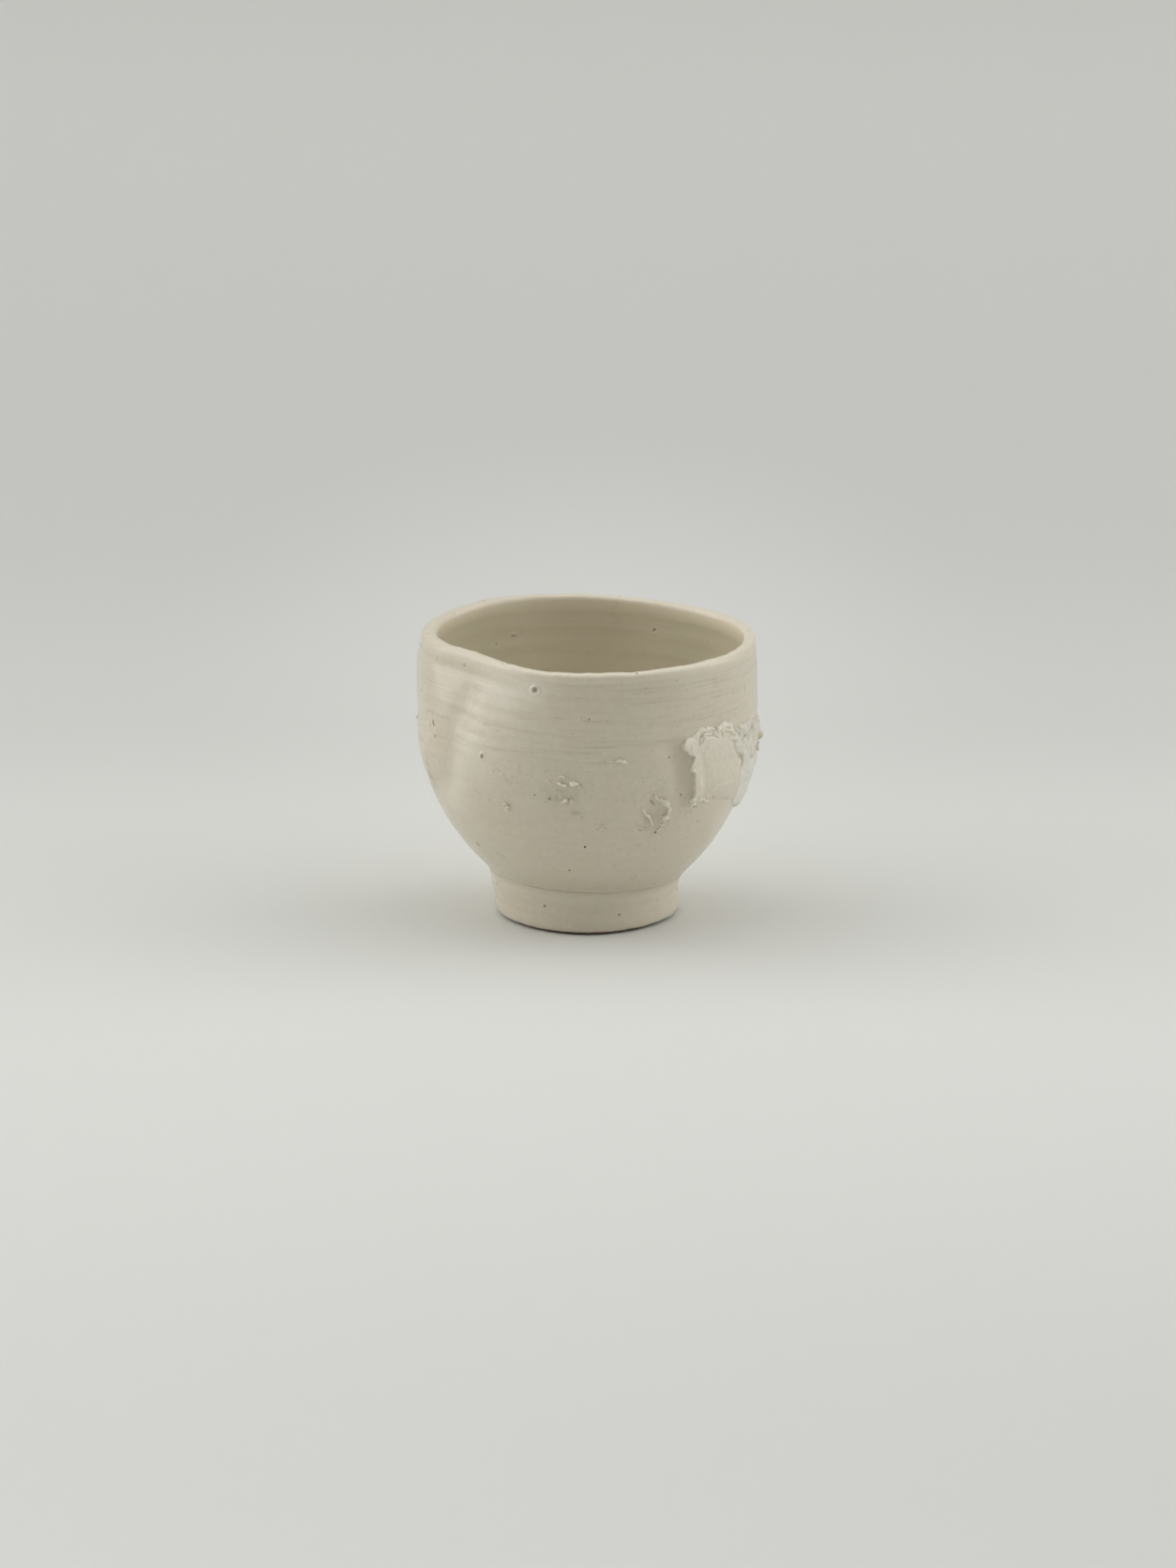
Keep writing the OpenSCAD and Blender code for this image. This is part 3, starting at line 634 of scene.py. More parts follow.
def outer_places(a, share):
    """Radius, height and marks of the outer wall, from the seam up."""
    seam = seam_height(a)
    z = seam + (LIP_BASE - seam) * np.interp(share, OUTER_SHARES, OUTER_RISES)
    pits, dark, pale = pitted(a, z, OUTER_PITS)
    scuffs = sum(rise * rough_round(a, z, grain, seed) * spot(a, z, *place)
                 for *place, rise, grain, seed in SCUFFS)
    angle, height, wide, strength = GREEN_SPOT
    marks = {"dark": dark,
             "pale": np.maximum(pale, patched(a, z, PALE_PATCHES)),
             "thin": 0.25 * step(z, LIP_BASE - 1.0, LIP_BASE),
             "line": line_distance(a, z),
             "stain": stains_and_shade(a, z),
             "green": strength * hump(np.hypot(turn(a, angle) / DEGREES_PER_MM, z - height), wide),
             "scuff": scuff_marks(a, z),
             "streaked": 0.35 + 0.65 * step(z, 42, 50)}
    return outer_radius(a, z) + pits + scuffs, z, marks


def lip_width(a):
    """Half the lip's thickness, uneven all round, and how far its top wanders."""
    wander = uneven(a, 0 * a, LIP_UNEVEN)
    return LIP_ROUND * (1 + 0.5 * wander), wander


def lip_places(a, share):
    """Radius, height and marks of the rounded lip, from its outer to its inner edge."""
    c, s = at_angle(share * 180)
    c = np.sign(c) * np.abs(c) ** LIP_SQUARE
    s = np.abs(s) ** LIP_SQUARE
    half, wander = lip_width(a)
    pits, dark, pale = pitted(a, LIP_WAY * share, LIP_PITS)
    bent = pressed(a, LIP_BASE)
    radius = NECK_RADIUS - LIP_ROUND + bent + (half + pits) * c - round_hump(a, RIM_THICKER) * (1 - c) / 2
    meets = outer_radius(a, LIP_BASE + 0 * a) - NECK_RADIUS - bent
    z = LIP_BASE + (half + pits) * s + wander * s
    # The lip's top and inner side take the thin glaze colour, brightened as a painted highlight
    marks = {"dark": dark, "pale": pale, "thin": 0.25 + 0.75 * step(share * 180, 15, 75)}
    return radius + meets * (1 - step(share, 0, 0.5)), z, marks


def inner_places(a, share):
    """Radius, height and marks of the inside, from the lip down to the middle of the floor."""
    plain = np.interp(share, INNER_SHARES, INNER_TABLE[:, 0])
    z = np.interp(share, INNER_SHARES, INNER_TABLE[:, 1])
    waves = 0.10 * rough_round(a, z, 13, 31) + 0.07 * spiral(z, 4.6, a, -1) * step(z, 17, 26)
    waves = waves * step(LIP_BASE - z, 0, 3)
    floor_spiral = 0.15 * spiral(plain, 4.2, a) * (1 - step(z, 17, 22)) * step(plain, 0.5, 5)
    pits, dark, pale = pitted(a, z, INNER_PITS)
    narrower = (lip_width(a)[0] - LIP_ROUND) * (1 - step(share, 0, 0.05))
    radius = plain + pressed(a, z) * np.minimum(1, plain / INSIDE_RADIUS) - narrower
    radius = radius - round_hump(a, RIM_THICKER) * (1 - step(LIP_BASE - z, 0, 9))
    radius = radius + (waves - pits) * step(plain, 3, 12)
    # The inside's left and right walls are marked for a painted shade
    marks = {"dark": dark, "pale": pale, "thin": 1, "streaked": 0.3,
             "inside": step(LIP_BASE - z, 0, 2.8),
             "aside": step(np.abs(at_angle(a)[0]), 0.30, 0.80)}
    return radius, z + floor_spiral, marks


def bowl_places(a, way):
    """Places and marks on the bowl's skin at angles and ways along its profile."""
    radius = np.zeros(len(a))
    height = np.zeros(len(a))
    marks = {name: np.full(len(a), float(value)) for name, value in PLAIN_MARKS.items()}
    for part, part_places in enumerate((underside_places, outer_places, lip_places, inner_places)):
        here = np.floor(way) == part
        radius[here], height[here], found = part_places(a[here], way[here] - part)
        for name, values in found.items():
            marks[name][here] = values
    marks["thin"] = marks["thin"] * (1 - round_hump(a, LIP_THIN_AND_HIGHLIGHT_LESS))
    c, s = at_angle(a)
    return np.stack([radius * c, radius * s, height + lift(a, height)], -1), marks


def pit_cells(columns, rows, part, shares, heights, pits):
    """Marks the grid's cells that lie on or near a pit, or on an area that needs fine cells."""
    fine = np.zeros((len(rows) - 1, len(columns)), bool)
    middle_rows = (rows[1:] + rows[:-1]) / 2
    middle_columns = (columns + np.append(columns[1:], columns[0] + 360)) / 2
    in_part = (middle_rows > part) & (middle_rows < part + 1)
    z = np.interp(middle_rows - part, shares, heights)
    for pit in pits:
        across = np.abs(turn(middle_columns, pit[0])) / DEGREES_PER_MM
        reach = max(pit[2], pit[3]) * (PIT_REACH if len(pit) > 4 else 1.0) + 0.4
        fine |= (in_part & (np.abs(z - pit[1]) < reach))[:, None] & (across < reach)[None, :]
    return fine


def make_bowl():
    """The thrown bowl: underside, wall, lip and inside in one closed skin."""
    columns = front_columns(*BOWL_SPACING)
    under = np.linspace(0, 1, UNDERSIDE_STEPS)[1:-1]
    outer = OUTSIDE + even_places(OUTER_TABLE, OUTER_SPACING)[:-1]
    lip = LIP + np.linspace(0, 1, LIP_STEPS + 1)[:-1]
    inner = INSIDE + even_places(INNER_TABLE, INNER_SPACING)[:-1]
    rows = np.concatenate([under, outer, lip, inner])
    fine = (pit_cells(columns, rows, OUTSIDE, OUTER_SHARES, OUTER_TABLE[:, 1], OUTER_PITS + FINE_AREAS)
            | pit_cells(columns, rows, LIP, (0, 1), (0, LIP_WAY), LIP_PITS)
            | pit_cells(columns, rows, INSIDE, INNER_SHARES, INNER_TABLE[:, 1], INNER_PITS))
    places, faces = fine_grid(columns, rows, fine, FINE_PARTS)
    points, marks = bowl_places(places[:, 0], places[:, 1])
    n = len(columns)
    last = (len(rows) - 1) * n
    points = np.vstack([points, [[0, 0, FOOT_HEIGHT]], [[0, 0, INSIDE_FLOOR]]])
    marks = {name: np.append(values, values[[0, last]]) for name, values in marks.items()}
    bottom, top = len(points) - 2, len(points) - 1
    faces += [(bottom, (j + 1) % n, j) for j in range(n)]
    faces += [(top, last + j, last + (j + 1) % n) for j in range(n)]
    return make_piece("thrown_bowl", points, faces, marks)


# The foot's grid: spacing of columns in front and behind, and rows of the side, the bevel and the recess
FOOT_SPACING = (0.55, 0.9)
SIDE_STEPS = 34
BEVEL_STEPS = 8
RECESS_STEPS = 9
LAND_SHARES = (0, 0.35, 0.7, 1.0)
LAND_ROUND = FOOT_LAND * 0.15


def foot_row(a, radius, height, dark=0, pale=0, stain=0):
    """One ring of the foot's points, with what it tells the glaze."""
    return [value + 0 * a for value in (radius, height, dark, pale, stain)]


def foot_side(a):
    """The foot's side, from the top of its bevel up to the seam."""
    seam = seam_height(a)
    rows = []
    for share in np.linspace(0, 1, SIDE_STEPS):
        z = FOOT_BEVEL + (seam - FOOT_BEVEL) * share
        ripple = 0.03 * np.sin(2 * math.pi * z / 2.3) + 0.05 * rough_round(a, z, 8, 53)
        depth, dark, pale = pitted(a, z, FOOT_PITS, 360 / (2 * math.pi * FOOT_LOW_RADIUS))
        out = FOOT_SHIFT * at_angle(a)[0] + 0.45 * round_hump(a, FOOT_FORWARD)
        side = side_radius(a, z) + out * (1 - step(z, 2, 9)) + (ripple + depth) * step(seam - z, 0, 1.2)
        # A painted highlight: a paler band on the bead below the seam
        pale = np.maximum(pale, 0.25 * hump(z - seam + 1.9, 0.9))
        # A darker band along the seam, partly pooled glaze and partly painted shade
        rows.append(foot_row(a, side, z, dark, pale, 0.12 * hump(z - seam, 0.7)))
    return rows


def foot_bevel(a, outer, side):
    """The worn bevel, from the edge of the land out to the foot's side."""
    gap = FOOT_GAP + 0.05 * rough_round(a, 0 * a, 4, 54) + sum(round_hump(a, more) for more in FOOT_GAPS)
    # The bevel's lowest rows are darkened as painted contact shade
    rows = [foot_row(a, outer + 0.45, 0.35 * gap, 0.75)]
    edge = outer + 0.8
    for t in np.linspace(0, 90, BEVEL_STEPS)[:-1]:
        c, s = at_angle(t)
        z = gap + (FOOT_BEVEL - gap) * (1 - c)
        rows.append(foot_row(a, edge + (side - edge) * s, z, 0.6 * (t == 0)))
    return rows


def foot_recess(a, inner):
    """The wall of the recess under the foot, from its top down to the land."""
    top = FOOT_LOW_RADIUS - FOOT_BEVEL - FOOT_LAND + RECESS_TAPER
    rows = []
    for share in np.linspace(1, 0, RECESS_STEPS):
        z = LAND_ROUND + (FOOT_HEIGHT - LAND_ROUND) * share
        rows.append(foot_row(a, inner + (top - inner) * share + 0.05 * spiral(z, 1.9, a), z))
    return rows


def make_foot():
    """The turned foot ring, with its worn bevel and the recess under it."""
    a = front_columns(*FOOT_SPACING)
    c, s = at_angle(a)
    low = FOOT_LOW_RADIUS + FOOT_SHIFT * c - FOOT_BEVEL
    outer = low - 0.2 + uneven(a, 0 * a, FOOT_WORN) + round_hump(a, FOOT_FORWARD)
    inner = low - FOOT_LAND
    start = inner + LAND_ROUND
    land = [foot_row(a, start + (outer - start) * share, 0) for share in LAND_SHARES]
    side = foot_side(a)
    top = [foot_row(a, 20.5, (FOOT_HEIGHT + seam_height(a)) / 2)]
    rows = foot_recess(a, inner) + land + foot_bevel(a, outer, side[0][0]) + side + top
    points = np.vstack([np.stack([row[0] * c, row[0] * s, row[1]], -1) for row in rows])
    names = ("dark", "pale", "stain")
    marks = {name: np.concatenate([row[k + 2] for row in rows]) for k, name in enumerate(names)}
    n = len(a)
    faces = []
    for i in range(len(rows)):
        k = (i + 1) % len(rows)
        faces += [(i * n + j, i * n + (j + 1) % n, k * n + (j + 1) % n, k * n + j) for j in range(n)]
    return make_piece("turned_foot", points, faces, marks)


# The torn scraps. Each is worked out as heights over the wall, on a fine grid round its own middle

# How deep under the wall a scrap's edges lie, and how much deeper its back
SUNK = 0.3
SCRAP_BACK = 0.15
# Farther than any place of a scrap
FAR = 1e9


def from_stretch(x, y, start, end):
    """Distance from a straight stretch of a line, and the share of it that is nearest."""
    dx, dy = end[0] - start[0], end[1] - start[1]
    t = np.clip(((x - start[0]) * dx + (y - start[1]) * dy) / (dx * dx + dy * dy), 0, 1)
    return np.hypot(x - start[0] - t * dx, y - start[1] - t * dy), t


def edge_distance(x, y, outline):
    """Distance in millimetres from a closed outline, positive inside it."""
    nearest = np.full(x.shape, FAR)
    inside = np.zeros(x.shape, bool)
    for (x0, y0), (x1, y1) in zip(outline, outline[1:] + outline[:1]):
        nearest = np.minimum(nearest, from_stretch(x, y, (x0, y0), (x1, y1))[0])
        if y0 != y1:
            inside ^= ((y0 > y) != (y1 > y)) & (x < x0 + (y - y0) / (y1 - y0) * (x1 - x0))
    return np.where(inside, nearest, -nearest)


def path_distance(x, y, path):
    """Distance in millimetres from an open line, and the share of its way that is nearest."""
    ways = ways_along(path)
    nearest = np.full(x.shape, FAR)
    way = np.zeros(x.shape)
    for i in range(len(path) - 1):
        far, t = from_stretch(x, y, path[i], path[i + 1])
        way = np.where(far < nearest, (ways[i] + t * (ways[i + 1] - ways[i])) / ways[-1], way)
        nearest = np.minimum(nearest, far)
    return nearest, way


def near_lines(x, y, lines, width):
    """1 on any of a set of lines, and near 0 beyond their width."""
    return sum(hump(path_distance(x, y, line)[0], width) for line in lines).clip(0, 1)


def torn(x, y, amount, seed):
    """Places moved a little at random, so that edges made from them look torn."""
    across = amount * rough(x, y, 1.8, seed) + 0.5 * amount * rough(x, y, 0.7, seed + 1)
    along = amount * rough(x, y, 1.8, seed + 2) + 0.5 * amount * rough(x, y, 0.7, seed + 3)
    return x + across, y + along


def ridge(x, y, path, width, rise, seed):
    """Heights of a rounded ridge of clay along a line, uneven along its way."""
    far, way = path_distance(x, y, path)
    full = 1 + 0.35 * rough(way * 9, 0 * way, 1, seed)
    full = full * (0.45 + 0.55 * step(np.minimum(way, 1 - way), 0, 0.15))
    half = width / 2 * full
    return (rise + SUNK) * full * np.sqrt(np.maximum(0, 1 - (far / half) ** 2)) - SUNK


def make_scrap(name, angle, height, reach, spacing, heights):
    """A closed piece of clay on the wall. heights gives its rise over the wall, and marks, at places."""
    left, right, down, up = reach
    x, y = np.meshgrid(np.arange(-left, right + spacing, spacing), np.arange(-down, up + spacing, spacing))
    rise, marks = heights(x, y)
    rise = np.maximum(rise, -SUNK)
    high = rise > -SUNK + 0.001
    cell = high[:-1, :-1] | high[1:, :-1] | high[:-1, 1:] | high[1:, 1:]
    top = wall_place(angle + x * DEGREES_PER_MM, height + y, rise)
    back = wall_place(angle + x * DEGREES_PER_MM, height + y, -SUNK - SCRAP_BACK)
    rows, columns = x.shape
    used = np.zeros(x.shape, bool)
    for di, dj in ((0, 0), (0, 1), (1, 0), (1, 1)):
        used[di:rows - 1 + di, dj:columns - 1 + dj] |= cell
    number = np.full(x.shape, -1)
    number[used] = np.arange(used.sum())
    half = int(used.sum())
    faces = []
    for i, j in zip(*np.nonzero(cell)):
        a, b = number[i, j], number[i, j + 1]
        d, c = number[i + 1, j], number[i + 1, j + 1]
        faces.append((a, b, c, d))
        faces.append((d + half, c + half, b + half, a + half))
        sides = ((i > 0 and cell[i - 1, j], b, a), (i < rows - 2 and cell[i + 1, j], d, c),
                 (j > 0 and cell[i, j - 1], a, d), (j < columns - 2 and cell[i, j + 1], c, b))
        faces += [(start, end, end + half, start + half) for joined, start, end in sides if not joined]
    faces = [tuple(int(k) for k in face) for face in faces]
    points = np.vstack([top[used], back[used]])
    values = {key: np.concatenate([v[used], v[used]]) for key, v in marks.items()}
    return make_piece(name, points, faces, values)


# The slab's torn outline, right of and above its middle, in millimetres
SLAB_OUTLINE = (
    (5.2, 7.6), (5.7, 5.6), (5.6, 4.2), (4.8, 3.4), (7.0, 1.7), (9.9, -0.3), (10.0, -2.4), (10.8, -4.4),
    (13.3, -7.2), (13.8, -10.4), (12.3, -12.6), (7.4, -11.4), (3.6, -10.2), (0.4, -9.0), (-1.8, -8.3),
    (-5.8, -7.5), (-10.2, -7.4), (-10.0, -5.2), (-9.2, -3.8), (-10.0, -1.7), (-10.5, 0.1), (-10.9, 1.6),
    (-11.4, 2.7), (-10.8, 4.2), (-12.2, 5.6), (-13.1, 6.8), (-13.8, 7.8), (-14.3, 8.6), (-12.2, 9.2),
    (-10.2, 10.3), (-7.8, 11.3), (-4.8, 11.6), (-1.3, 11.6), (2.6, 10.4),
)
SLAB_RIM = ((-13.9, 8.4), (-13.2, 7.2), (-12.5, 6.0), (-11.0, 4.3), (-11.1, 2.7), (-10.6, 1.5), (-10.2, 0.0),
            (-9.7, -1.8), (-8.9, -3.7), (-9.6, -5.3), (-9.6, -7.0))
SLAB_LOBE = ((1.9, 6.9), (3.6, 6.6), (5.0, 5.6), (5.2, 4.4), (4.0, 4.4))
SLAB_FOLDS = (
    ((-8.0, -2.0), (-7.2, -4.0), (-7.2, -6.4)),
    ((-4.6, -6.2), (-2.0, -4.4), (2.0, -4.4), (5.6, -5.2)),
)
SLAB_SLITS = (
    ((-1.5, 9.4), (-1.3, 8.0)),
    ((0.0, 8.6), (1.6, 8.0), (3.2, 7.2)),
    ((2.6, 5.7), (3.8, 5.1)),
    ((-9.2, 7.4), (-8.8, 8.8), (-7.8, 9.6), (-6.4, 9.9), (-4.8, 9.8), (-3.2, 9.3)),
    ((-8.4, 7.6), (-7.6, 8.6), (-6.4, 9.0), (-4.8, 8.9), (-3.2, 8.1)),
)
SLAB_STAINS = (
    ((0.2, 8.4), (2.6, 7.4), (3.4, 6.6)),
    ((5.9, 3.6), (6.9, 2.4)),
    ((8.6, -0.8), (8.3, -2.6), (8.8, -4.6)),
)


def slab_heights(x, y):
    """The torn slab: a thick plate with a crest along its left rim, folds, slits and grain."""
    ragged = torn(x, y, 0.5, 61)
    edge = edge_distance(*ragged, SLAB_OUTLINE)
    left = step(-x, 4.5, 7.5)
    under = step(y, -11.5 - 0.12 * x, -4.5 - 0.1 * x)
    above = 1 - step(y, 7.6, 10.8)
    thick = -0.05 + 0.27 * step(y, -10.5, -5.5) + 0.42 * under * above + 0.10 * rough(x, y, 5, 65)
    soft = 0.35 + 2.2 * (1 - left) * (1 - 0.6 * above * under)
    rise = -SUNK + (thick + SUNK) * step(edge, -0.15, soft)
    rim, way = path_distance(*ragged, SLAB_RIM)
    crest = hump(rim, 0.42) * (0.26 + 0.34 * rough(way * 19, 0 * way, 1, 66))
    crest = crest * (1 - 0.8 * step(y, 2.5, 6.5))
    lobe = near_lines(*ragged, (SLAB_LOBE,), 0.55) * 0.5
    folds = near_lines(*ragged, SLAB_FOLDS, 0.5) * 0.16
    slits = near_lines((x + ragged[0]) / 2, (y + ragged[1]) / 2, SLAB_SLITS, 0.24) * 0.3
    grain = 0.05 * rough(x, y, 1.2, 67) + 0.02 * rough(x * 1.6, y / 2.5, 1, 68)
    grain = grain + 0.025 * rough(x, y, 0.4, 69)
    on = step(edge, -0.1, 0.5)
    rise = rise + (crest + lobe + folds - slits + grain) * on
    # Paler towards the top, along the top edge and on the crest, partly thick glaze and partly painted
    # highlight; the slits are darkened as painted shade
    glow = (0.20 * step(y, 2, 8) + 0.20 * hump(y - 11.0, 1.4)) * (0.8 + 0.5 * rough(x, y, 1.3, 70))
    pale = (0.06 + 0.27 * step(y, -7, 0) + crest * 1.3 + folds + lobe * 0.5 + glow).clip(0, 1)
    pale = pale * step(edge, -0.1, soft)
    stain = (near_lines(*ragged, SLAB_STAINS, 0.8) * 0.25 + slits * 0.4).clip(0, 1) * on
    return rise, {"pale": pale, "dark": slits * 0.25 * on, "brown": stain}


# The flap's torn outline, right of and above its middle, with its left edge under the slab
FLAP_OUTLINE = (
    (13.2, -0.5), (11.9, 2.6), (9.9, 4.2), (9.0, 7.2), (5.0, 9.0), (2.4, 10.9), (-2.1, 10.2), (-5.6, 11.7),
    (-9.4, 11.9), (-14.2, 11.6), (-14.0, 8.6), (-14.4, 6.2), (-12.6, 4.0), (-9.8, 2.0), (-10.4, -0.3),
    (-10.2, -2.8), (-7.4, -5.2), (-7.8, -9.2), (-5.1, -10.6), (-2.0, -11.4), (1.4, -11.9), (5.7, -12.0),
    (8.4, -10.9), (10.1, -8.4), (12.2, -4.4),
)
FLAP_CREASES = (
    ((4.4, 2.6), (2.6, 1.6), (0.6, 0.6), (-1.4, 0.8), (-3.0, 1.4)),
    ((-5.6, 9.6), (-6.6, 8.4)),
    ((-9.8, 8.4), (-10.8, 7.4)),
    ((-6.6, 7.2), (-7.6, 6.2)),
    ((7.4, -3.0), (6.4, -5.2)),
    ((6.8, -10.0), (5.2, -11.6)),
)
FLAP_RIDGES = (
    ((8.6, 6.4), (7.4, 4.0), (6.4, 1.4), (6.6, -1.2)),
    ((7.2, -2.4), (7.4, -5.0), (6.6, -6.8)),
    ((6.8, -9.2), (6.4, -11.0), (5.0, -12.2)),
    ((-12.4, 10.4), (-9.6, 10.4), (-7.0, 9.8)),
    ((-4.4, 9.6), (-2.6, 8.6), (-3.2, 6.8)),
    ((-9.4, 6.8), (-8.4, 5.2), (-9.0, 3.8)),
    ((-5.4, 5.4), (-4.2, 3.6), (-4.6, 2.0)),
)


def flap_heights(x, y):
    """The torn flap: lumpy and ridged above, and smooth and bulging below."""
    ragged = torn(x, y, 0.55, 71)
    edge = edge_distance(*ragged, FLAP_OUTLINE)
    upper = step(y, -1.5, 3.0)
    lower = 1 - step(y, -2.5, 1.5)
    bulging = 0.95 * lower * step(x, -6.5, 0.5) * (1 - step(x, 6.5, 11))
    thick = 0.34 + 0.14 * upper + (0.10 + 0.16 * upper) * rough(x, y, 3.2, 75) + bulging
    bumps = upper * (0.20 * rough(x, y, 1.7, 76) + 0.12 * rough(x, y, 0.8, 79))
    rise = -SUNK + (thick + SUNK) * step(edge, -0.2, 0.9)
    ridges = near_lines(*ragged, FLAP_RIDGES, 0.8) * 0.36
    creases = near_lines(*ragged, FLAP_CREASES, 0.34) * 0.45
    cracks = upper * (1 - step(np.abs(rough(x, y, 2.0, 72)), 0.03, 0.12))
    cracks = cracks * step(rough(x, y, 3.0, 73), -0.1, 0.4)
    creases = np.maximum(creases, 0.3 * cracks)
    grain = 0.05 * rough(x, y, 1.0, 77) + 0.03 * rough(x, y, 0.5, 78)
    on = step(edge, -0.1, 0.7)
    rise = rise + (ridges + bumps - creases + grain) * on
    # Ridges and bump tops are painted paler as a highlight
    pale = (ridges * 0.4 + bumps * 0.6).clip(0, 1) * on
    # A painted reflection of the bright surroundings near the flap's outline
    cool = (0.40 + 0.25 * (1 - step(y, -4, 4))) * (1 - 0.7 * step(x, 1.5, 6.5)) * on
    tip = 0.5 * hump(np.hypot(x - 3.6, y + 11.2), 0.5)
    # Creases and cracks are darkened as painted shade
    dark = (creases * 0.8 + tip).clip(0, 1) * on
    return rise, {"pale": pale, "cool": cool, "dark": dark, "brown": creases * 0.6 * on}


# The curl along the slab's top edge, in two ridges that bend over. Each has its places from the slab's
# middle, its width and its rise, and so have the ridges of the other scraps
CURL_RIDGES = (
    (((-8.9, 7.0), (-8.5, 8.4), (-7.3, 9.4), (-5.8, 9.6), (-4.0, 9.4), (-2.8, 8.8)), 0.95, 0.8),
    (((-4.6, 9.3), (-3.2, 9.7), (-2.0, 10.2), (-0.4, 10.5), (1.4, 10.1), (2.9, 8.9)), 1.7, 0.65),
)
CRESCENT_RIDGES = (
    (((-0.9, 4.6), (-0.2, 3.6), (0.6, 2.7), (1.3, 2.3)), 0.7, 0.5),
    (((1.0, 3.0), (2.1, 2.3), (3.2, 1.3), (3.9, 0.1), (3.3, -1.3), (2.2, -2.3)), 1.5, 1.05),
    (((2.7, -3.0), (2.3, -4.2), (1.5, -5.4)), 0.75, 0.4),
)
CRESCENT_FOLD = (
    (((-4.0, 1.6), (-3.4, 0.7), (-2.3, -0.5), (-1.5, -1.0), (-0.7, -2.1), (-0.3, -3.3), (-0.3, -4.4)),
     0.65, 0.55),
)

# Small scraps: node, angle, height and ridges
SMALL_SCRAPS = (
    ("front_crumb", 281.8, 46.55, (
        (((-1.5, -0.15), (-0.6, 0.3), (0.1, 0.25)), 0.8, 0.6),
        (((0.0, 0.2), (0.8, -0.1), (1.5, -0.55)), 0.9, 0.65),
        (((-3.6, 0.1), (-2.0, 0.0)), 0.35, 0.2))),
    ("scrap_hook", 266.2, 41.0, (
        (((-1.2, 0.05), (-0.4, 0.45), (0.4, 0.4), (0.9, -0.1)), 1.15, 0.75),
        (((0.8, -0.2), (1.2, -0.9)), 1.0, 0.7))),
    ("scrap_ring", 261.9, 41.9, (
        (((-1.0, 0.5), (-0.6, 1.0), (0.2, 1.1), (0.9, 0.7)), 0.6, 0.4),
        (((-0.9, -0.2), (-0.5, -0.8), (0.3, -1.1), (1.3, -1.1)), 0.85, 0.6))),
    ("scrap_low", 263.6, 36.85, (
        (((-1.6, -0.4), (-0.6, 0.05), (0.1, 0.5)), 1.0, 0.7),
        (((0.6, -0.35), (1.2, 0.45)), 0.8, 0.55),
        (((-3.4, -0.9), (-2.6, -0.7)), 0.45, 0.25))),
    ("small_bead", 240.7, 34.2, (
        (((-0.7, 0.5), (-0.1, 0.8), (0.5, 0.5)), 0.6, 0.4),
        (((0.5, 0.3), (0.6, -0.3), (0.2, -0.7), (-0.3, -0.6)), 0.9, 0.6))),
)
SMALL_REACH = (4.2, 2.4, 1.8, 1.9)


def ridges_of(ridges, bend, seed, paleness=1.0):
    """Heights made by several ridges, paler towards their crests, partly as thick glaze and partly as a
    painted highlight.
    """
    def heights(x, y):
        bent = torn(x, y, bend, seed)
        rise = np.full(x.shape, -SUNK)
        pale = np.zeros(x.shape)
        for number, (path, width, high) in enumerate(ridges):
            one = ridge(*bent, path, width, high, seed + 5 + number)
            rise = np.maximum(rise, one)
            pale = np.maximum(pale, step(one, -0.05, 0.7 * high))
        grain = 0.04 * rough(x, y, 0.45, seed + 15)
        return rise + grain * (rise > -SUNK), {"pale": pale * paleness}
    return heights


# The lump that breaks the right outline, with a tail below it
LUMP_RISE = 2.0
LUMP_TAIL = ((-0.2, -1.4), (-0.6, -2.6), (-1.4, -3.9))


def lump_heights(x, y):
    """A round lump with a tail, painted paler on top as a highlight and darker underneath as shade."""
    far = np.hypot(x / 1.9, y / 1.8) + 0.20 * rough(x, y, 1.4, 91) + 0.1 * rough(x, y, 0.6, 92)
    dome = np.sqrt(np.maximum(0, 1 - far ** 2))
    tail = ridge(x, y, LUMP_TAIL, 1.9, 1.25, 93)
    rise = np.maximum(-SUNK + (LUMP_RISE + SUNK) * dome, tail)
    browned = step(dome, 0.1, 0.6) * (0.8 - 0.5 * step(y, 0.0, 1.2))
    return rise, {"pale": 0.4 * step(y, -0.2, 1.2), "brown": browned, "dark": 0.16 * step(-y, 0.3, 1.4)}


# Crumbs below the slab's lower left corner: place from that corner, half width, half height and rise
CRUMBS_PLACE = (SLAB_ANGLE - 8.2 * DEGREES_PER_MM, SLAB_HEIGHT - 6.6)
SLAB_CRUMBS = ((-1.2, 0.6, 0.9, 0.7, 0.8), (-0.4, -0.8, 0.9, 0.5, 0.7), (1.3, 0.3, 0.9, 1.1, 1.1),
               (2.8, -0.3, 0.8, 0.45, 0.8), (4.2, -1.0, 1.0, 0.5, 0.8), (1.6, -2.0, 0.5, 0.35, 0.4),
               (5.9, -1.6, 0.5, 0.3, 0.4), (0.4, 1.7, 0.6, 0.7, 0.7))


def crumb_heights(x, y):
    """Several round crumbs, painted paler on top as a highlight and darker at their low edges as shade."""
    rise = np.full(x.shape, -SUNK)
    for cx, cy, wide, tall, high in SLAB_CRUMBS:
        far = np.hypot((x - cx) / wide, (y - cy) / tall) + 0.25 * rough(x, y, 0.7, 101)
        rise = np.maximum(rise, -SUNK + (high + SUNK) * np.sqrt(np.maximum(0, 1 - far ** 2)))
    return rise, {"pale": step(rise, -0.1, 0.45), "dark": 0.3 * (1 - step(rise, -0.3, 0.1))}


